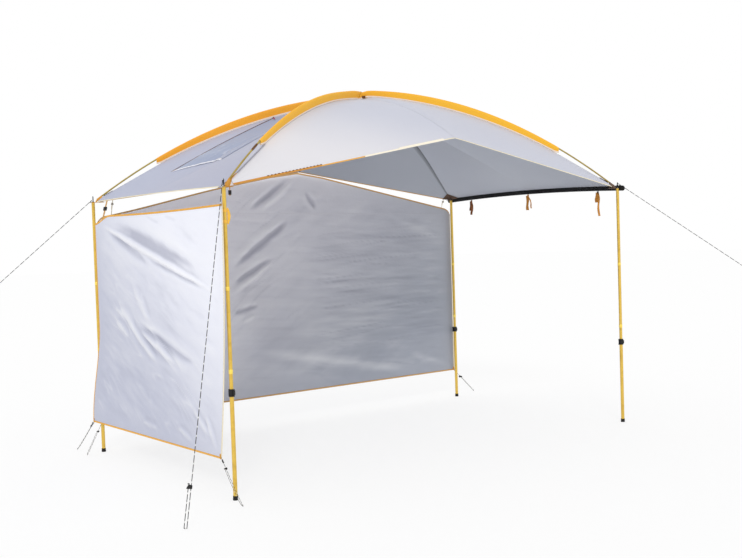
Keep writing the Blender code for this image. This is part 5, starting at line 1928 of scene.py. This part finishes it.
# Walls
wall = {
    "offset": 0.040,
    "leftTop": legTop - 0.11,
    "hem": 0.25,
    "thickness": 0.0013,
    # A fold of this height is drawn at its full shade.
    "foldHeight": 0.011,
    # Each fold: both ends along the wall and in height, half width, and how far it stands outwards.
    "leftFolds": [
        ((0.86, 1.825), (-1.0, 1.32), 0.020, 0.020),
        ((0.68, 1.84), (-0.76, 1.476), 0.055, -0.012),
        ((0.76, 1.78), (-0.05, 1.49), 0.036, -0.011),
        ((0.014, 1.539), (-0.888, 1.345), 0.022, -0.008),
        ((0.616, 1.085), (0.37, 0.955), 0.026, 0.010),
        ((0.412, 1.094), (-0.097, 0.804), 0.028, 0.014),
        ((0.224, 1.033), (-0.439, 0.799), 0.024, 0.013),
        ((0.247, 1.078), (-0.736, 0.813), 0.030, -0.010),
        ((0.209, 0.354), (-0.052, 0.33), 0.020, 0.007),
        ((-0.355, 0.391), (-0.604, 0.306), 0.020, 0.009),
        ((-0.602, 0.549), (-0.83, 0.368), 0.022, 0.009),
        ((-0.778, 0.527), (-0.929, 0.28), 0.024, 0.009),
        ((-0.268, 1.842), (-0.481, 1.807), 0.016, -0.006),
        ((0.036, 1.853), (-0.214, 1.795), 0.016, -0.006),
        ((0.3, 1.367), (0.006, 1.08), 0.034, 0.007),
        ((0.516, 1.198), (0.252, 1.027), 0.030, 0.008),
    ],
    "backFolds": [
        ((-0.005, 2.224), (-0.456, 1.92), 0.030, 0.014),
        ((0.06, 2.225), (-0.334, 1.919), 0.028, -0.012),
        ((0.142, 2.098), (0.267, 1.931), 0.026, 0.011),
        ((-0.021, 1.843), (-0.639, 1.415), 0.036, 0.020),
        ((-0.205, 1.504), (-0.645, 1.275), 0.030, 0.014),
        ((-0.23, 1.47), (-0.649, 1.188), 0.028, -0.012),
        ((-0.369, 1.082), (-0.656, 1.013), 0.024, 0.012),
        ((-0.414, 0.996), (-0.56, 0.935), 0.020, -0.010),
        ((-0.55, 0.70), (1.45, 0.30), 0.050, -0.006),
        ((1.05, 1.90), (1.80, 1.60), 0.040, -0.003),
        ((-0.70, 1.80), (-1.70, 1.20), 0.060, 0.014),
        ((-0.90, 1.10), (-1.75, 0.60), 0.060, 0.012),
        ((-1.10, 0.45), (-1.82, 0.30), 0.040, 0.008),
        ((1.30, 0.50), (1.86, 0.32), 0.040, -0.004),
    ],
    # The colour of each edge's binding.
    "leftEdges": {"first": "binding", "last": "binding", "start": "paleBinding", "end": "binding"},
    "backEdges": {"first": "tanBinding", "last": "tanBinding", "start": "tanBinding", "end": "paleBinding"},
}


def leftWallPoint(t, v):
    front, back = -spanY / 2, spanY / 2
    near = front - 0.045 + 0.135 * v**2
    far = back - 0.115 + 0.20 * ease((v - 0.5) / 0.5)
    y = near + (far - near) * t
    cut = 0.06 * ease((t - 0.86) / 0.14)
    top = wall["leftTop"] - cut - 0.012 * sin(pi * t)
    z = top + (wall["hem"] + 0.008 - 0.02 * t - top) * v
    free = ease(v * 9) * ease((1 - v) * 9) * ease(t * 9) * ease((1 - t) * 9)
    fold = foldHeight(y, z, wall["leftFolds"]) * mix(0.35, 1.0, free)
    broad, small = crumple(y, z, 0.28, 0.55, 0.10, 3.3), crumple(y, z, 0.5, 0.22, 0.05, 9.1)
    fold += free * (0.0030 * broad + 0.0018 * small)
    band = bell((z - 0.95 - 0.4 * y) / 0.22) * ease((0.8 - y) / 0.3) * ease((y + 0.9) / 0.3)
    low = ease((0.62 - z + 0.2 * y) / 0.3) * 0.6
    thin = (0.25 + band + low) * creases(y, z, 0.52, 0.34, 0.060, 2.9) * free
    fold += 0.0045 * thin + 0.004 * ripple(y * 1.3, z * 1.1, 4.4) * free
    # The second value drives the painted fold shade and highlight; the creases weigh more there than in the
    # shape.
    return Vector((-spanX / 2 - wall["offset"] - max(-0.012, fold), y, z)), fold + 0.003 * thin


def backWallPoint(t, v):
    left, right = -spanX / 2 + 0.02, spanX / 2 + 0.012
    peak = legTop + awning["backPeak"] - 0.003
    middle = awning["peakShift"]
    x = left + (right - left) * t
    away = (middle - x) / (middle - left) if x < middle else (x - middle) / (right - middle)
    top = peak + (legTop - 0.003 - peak) * away - 0.09 * max(0, away - 0.15) / 0.85
    # Towards the left wall its top edge hangs lower and turns down early.
    lower = ease((middle - x - 0.7) / 1.1)
    top -= 0.032 * lower
    top -= (0.055 + 0.06 * lower) * (1 - sqrt(1 - min(1, max(0, (away - 0.956) / 0.044)) ** 2))
    z = top + (wall["hem"] + 0.02 * t - top) * v
    free = ease(v * 9) * ease((1 - v) * 9) * ease(t * 12) * ease((1 - t) * 12)
    fold = foldHeight(x, z, wall["backFolds"]) * mix(0.35, 1.0, free)
    fine = ease((x - 0.1) / 0.3) * ease((z - 0.5) / 0.3) * ease((1.85 - z) / 0.2)
    fold += free * (0.0024 + 0.0020 * fine) * crumple(x, z, -0.06, 0.60, 0.055, 5.3)
    fold += free * 0.0030 * (1 - fine) * crumple(x, z, 0.5, 0.5, 0.12, 2.7)
    fold += 0.005 * ripple(x * 1.1, z * 0.9, 6.4) * free
    # Level creases in the middle, and a fan of creases that run down to the left.
    thin = fine * creases(x, z, 0.05, 0.9, 0.045, 5.9)
    fan = ease((0.25 - x) / 0.4) * ease((z - 0.75) / 0.3)
    thin += fan * creases(x, z, 0.62, 0.5, 0.055, 8.3)
    thin += 0.5 * ease((0.62 - z) / 0.2) * creases(x, z, -0.2, 0.5, 0.07, 1.9)
    thin *= free
    fold += 0.0040 * thin
    shade = 0.0035 * fine * crumple(x, z, 0.05, 0.5, 0.04, 4.4) * free
    # The second value drives the painted fold shade and highlight, with extra for the creases and the
    # crumpled painted shade.
    return Vector((x, spanY / 2 + wall["offset"] + max(-0.014, fold), z)), fold + 0.0015 * thin + shade


def buildWall(name, node, place, outward, columns, rows, edges):
    grid, heights = placeGrid(place, columns, rows)
    folds = [[max(-1.0, min(1.0, h / wall["foldHeight"])) for h in row] for row in heights]
    looks = ["wallOutside", "wallInside"]
    piece = clothSheet(
        name, grid, outward, wall["thickness"], looks, folds, slot="wall_cloth", replaces=[node]
    )
    normals = gridNormals(grid, outward)
    threads = []
    for edge, look in edges.items():
        values = gridEdge(grid, normals, edge)
        binding = Builder()
        bindEdge(binding, values, 0.014, 0.0034)
        threads += [edgeLine(values, 0.011, lift) for lift in (0.0020, -0.0020)]
        binding.piece(f"{name}Binding{edge.capitalize()}", [look], slot="orange_webbing")
    repeatAlong(name + "Stitches", threads, stitchPitch, stitches, "darkStitch", slot="orange_webbing")
    return grid, normals


buildWall(
    "leftWall", "wall_left", leftWallPoint, -xAxis, 190, 170,
    wall["leftEdges"],
)
backGrid, backNormals = buildWall(
    "backWall", "wall_back", backWallPoint, yAxis, 260, 160,
    wall["backEdges"],
)


def buildWallSeam():
    # The panel seam across the back wall, just below the slopes of its top edge.
    rows = len(backGrid) - 1
    line, lines = [], []
    for j in range(len(backGrid[0])):
        want = 1.897 - 0.011 * (backGrid[0][j].x + 0.6)
        spot = next((i for i in range(rows) if backGrid[i][j].z >= want > backGrid[i + 1][j].z), None)
        if spot is None or not 0 < spot:
            continue
        a, b = backGrid[spot][j], backGrid[spot + 1][j]
        line.append(a.lerp(b, (a.z - want) / (a.z - b.z)))
        lines.append(backNormals[spot][j])
    threads = []
    for lift, look in ((0.0012, "wallOutside"), (-0.0012, "wallInside")):
        builder = Builder()
        builder.ribbon([p + n * lift for p, n in zip(line, lines)], up, lines, 0.012, 0.0010)
        builder.piece("backSeam" + look.capitalize(), [look], slot="wall_cloth")
        threads += [[p + n * lift * 1.55 + up * z for p, n in zip(line, lines)] for z in (-0.004, 0.004)]
    repeatAlong("backSeamStitches", threads, stitchPitch, stitches, "stitch", slot="wall_cloth")


buildWallSeam()


hangers = {
    "leftInset": 0.28,
    "backInsets": {"back_left": 0.165, "back_right": 0.10},
    # The left wall's buckle and the leg loop are turned towards the open front.
    "turned": (0.86, -0.51, 0),
    "spareInset": 0.045,
    "spareShift": 0.016,
    "spareDrop": 0.055,
}


def buildHanger(name, node, top, bottom, across, wide=0.016, look="webbing", share=0.34):
    # Webbing through a side-release buckle, with its loose end below.
    fall = bottom - top
    way = fall.normalized()
    normal = across.cross(way).normalized()
    length = fall.length
    long = min(wide * 2, 0.6 * length)
    strap = Builder()
    centres = [top + fall * (i / 10) for i in range(11)]
    strap.ribbon(centres, across, normal, wide * 0.72, 0.0020)
    if length > 0.04:
        below = top + way * (share * length + long * 0.9) + normal * 0.003
        reach = 0.5 * ((1 - share) * length - long)
        loose = [below + way * (reach * i / 6) + normal * (0.004 * sin(i / 2)) for i in range(7)]
        strap.ribbon(loose, across, normal, wide * 0.68, 0.0016)
    strap.piece(name + "Strap", [look], slot="orange_webbing")
    buckle = Builder()
    middle = top + way * (share * length + long / 2)
    # Its socket, two prongs, base and tongue: place along and across, and size.
    blocks = (
        (-0.18, 0, (wide * 1.7, long * 0.55, 0.0110)),
        (0.2, -0.62, (0.007, long * 0.5, 0.0090)),
        (0.2, 0.62, (0.007, long * 0.5, 0.0090)),
        (0.36, 0, (wide * 1.55, long * 0.24, 0.0090)),
        (0.08, 0, (0.008, long * 0.5, 0.0050)),
    )
    for ahead, aside, size in blocks:
        buckle.block(frameOf(middle + way * long * ahead + across * wide * aside, across, normal), size, 0.3)
    buckle.piece(
        name, ["palePlastic" if look == "paleBinding" else "plastic"], slot="black_plastic",
        replaces=[node],
    )


def buildHangers():
    seat = up * 0.0016
    y = spanY / 2 - hangers["leftInset"]
    top = eavePoint("left", "back_left", 1 - y / (spanY / 2 - awning["eaveCut"])) - seat
    t = (y + spanY / 2 + 0.045) / (spanY - 0.07)
    turned = Vector(hangers["turned"]).normalized()
    buildHanger("buckleLeft", "wall_buckle_left", top, leftWallPoint(t, 0)[0], turned, look="tanBinding")
    for name, corner in (("buckleBackLeft", "back_left"), ("buckleBackRight", "back_right")):
        start = cornerPoint(corner)
        x = start.x - copysign(hangers["backInsets"][corner], start.x)
        first, last = eavePoint("back", corner, 0), eavePoint("back", corner, 1)
        top = first.lerp(last, (x - first.x) / (last.x - first.x)) - seat
        t = (x + spanX / 2 - 0.02) / (spanX - 0.008)
        bottom = backWallPoint(t, 0)[0]
        buildHanger(name, "wall_buckle_" + corner, top, bottom, xAxis, 0.010, "paleBinding", 0.18)
    along, aside = hangers["spareInset"], hangers["spareShift"]
    top = cornerPoint("front_left") + inward("front_left") * along + xAxis * aside + up * legTop
    buildHanger("buckleFront", "front_wall_buckle", top, top - up * hangers["spareDrop"], yAxis)


buildHangers()


smallParts = {
    "loopBelow": 0.12,
    "loopTapes": 0.070,
    "tapeHeight": 0.020,
    "bowHeight": 0.106,
    "bowOut": 0.009,
    "clipShifts": (-0.0045, 0.0045),
    "clipWidth": 0.0075,
    "toggle": (0.030, 0.020, 0.008),
    "tabWidth": 0.018,
}


def buildLegLoop():
    at = cornerPoint("front_left")
    low = wall["leftTop"] - smallParts["loopBelow"]
    tall = smallParts["tapeHeight"]
    inner = tubeRadius + 0.0004
    loop = Builder()
    for z in (low, low + smallParts["loopTapes"]):
        rim, proud, high = inner + 0.0012, inner + 0.0018, z + tall
        tape = [(inner, high), (inner, z), (rim, z), (proud, z + 0.0008), (proud, z + 0.0192), (rim, high)]
        loop.lathe(tape, at, closed=True)
        reach = wall["offset"] - 0.001
        steps = [at + Vector((-mix(tubeRadius, reach, i / 6), 0.0015 * sin(i), z + 0.010)) for i in range(7)]
        loop.ribbon(steps, up, yAxis, 0.019, 0.0022)
    # The webbing stands off the leg between its two ends.
    arcs = [sin(pi * i / 14) for i in range(15)]
    bow = []
    for i, a in enumerate(arcs):
        height = low - 0.008 + smallParts["bowHeight"] * i / 14
        bow.append(at + Vector((inner + 0.003 + smallParts["bowOut"] * a, -0.009, height)))
    across = Vector(hangers["turned"]).normalized()
    loop.ribbon(bow, across, across.cross(up), [0.007 + 0.014 * a for a in arcs], 0.0022)
    loop.piece("legLoop", ["loopWebbing"], slot="orange_webbing", replaces=["wall_leg_loop"])


def buildCrossingClip():
    # Webbing over the upper pole at the crossing, with its toggle hanging below.
    centre, sideways, upright = archFrame("back_right", 0, upperRise)
    along = sideways.cross(upright)
    clip = Builder()
    turns = [pi * i / 16 for i in range(17)]
    radius = awning["poleRadius"] + 0.0018
    for shift in smallParts["clipShifts"]:
        at = centre + along * shift
        ring = [at + (sideways * cos(a) + upright * sin(a)) * radius for a in turns]
        ring = [ring[0] - up * 0.006] + ring + [ring[-1] - up * 0.006]
        out = [sideways] + [(p - centre - along * shift).normalized() for p in ring[1:-1]] + [-sideways]
        clip.ribbon(ring, along, out, smallParts["clipWidth"], 0.0026)
    toggle = centre - sideways * 0.034 - along * 0.015 - up * 0.040
    clip.block(frameOf(toggle, sideways, along), smallParts["toggle"], 0.3)
    clip.piece("crossingClip", ["clip"], slot="black_plastic", replaces=["crossing_clip"])


def buildCornerTabs():
    # Sewn tabs at the walls' lower corners, which the cords hook into.
    tabs = Builder()
    for name, start in wallCord["starts"].items():
        side = xAxis if name.startswith("back") else yAxis
        inner = -1 if name in ("left_back", "back_right") else 1
        normal = up.cross(side)
        top = Vector(start) + side * inner * 0.012
        steps = [top + up * (0.03 - 0.034 * i / 6) for i in range(7)]
        for lift in (-0.0028, 0.0028):
            line = [p + normal * lift * (1 if i < 5 else 0.3) for i, p in enumerate(steps)]
            tabs.ribbon(line, side, normal, smallParts["tabWidth"], 0.0016)
    tabs.piece("cornerTabs", ["webbing"], slot="orange_webbing")


buildLegLoop()
buildCrossingClip()
buildCornerTabs()
print("walls ready")


# Floor, lamps and world
stage = {
    "world": 0.84,
    "sun": 0.75,
    "sunAngle": 14,
    "sunFrom": (-0.8, -1.0, 0.8),
    "floorHalf": 60,
    "floorShare": 0.25,
}


def seenDirectly(tree, share):
    # share for the rays of the camera, of mirrors and of glass, and none for all others.
    rays = newNode(tree, "ShaderNodeLightPath").outputs
    seen = mathNode(tree, "MAXIMUM", rays["Is Camera Ray"], rays["Is Glossy Ray"])
    return times(tree, mathNode(tree, "MAXIMUM", seen, rays["Is Transmission Ray"]), share)


def buildStage():
    scene = bpy.context.scene
    scene.view_settings.view_transform = "Standard"
    mesh = bpy.data.meshes.new("floor")
    wide, low = stage["floorHalf"], -0.0005
    spots = [(x * wide, y * wide, low) for x, y in ((-1, -1), (1, -1), (1, 1), (-1, 1))]
    mesh.from_pydata(spots, [], [(0, 1, 2, 3)])
    floor = addObject("floor", mesh)
    pale = bpy.data.materials.new("floorPaint")
    pale.use_nodes = True
    tree = pale.node_tree
    tree.nodes.clear()
    lit = newNode(tree, "ShaderNodeBsdfDiffuse")
    lit.inputs["Color"].default_value = (1, 1, 1, 1)
    white = newNode(tree, "ShaderNodeEmission")
    blend = newNode(tree, "ShaderNodeMixShader")
    connect(tree, seenDirectly(tree, 1 - stage["floorShare"]), blend.inputs[0])
    connect(tree, lit.outputs[0], blend.inputs[1])
    connect(tree, white.outputs[0], blend.inputs[2])
    connect(tree, blend.outputs[0], newNode(tree, "ShaderNodeOutputMaterial").inputs[0])
    mesh.materials.append(pale)
    world = bpy.data.worlds.new("softWhite")
    scene.world = world
    world.use_nodes = True
    tree = world.node_tree
    back = tree.nodes["Background"]
    back.inputs["Color"].default_value = (1, 1, 1, 1)
    level = seenDirectly(tree, 1 - stage["world"])
    connect(tree, plus(tree, level, stage["world"]), back.inputs["Strength"])
    lamp = bpy.data.lights.new("sun", "SUN")
    lamp.energy = stage["sun"]
    lamp.angle = radians(stage["sunAngle"])
    sun = addObject("sun", lamp)
    sun.rotation_euler = Vector(stage["sunFrom"]).to_track_quat("Z", "Y").to_euler()


buildStage()

print("scene ready")
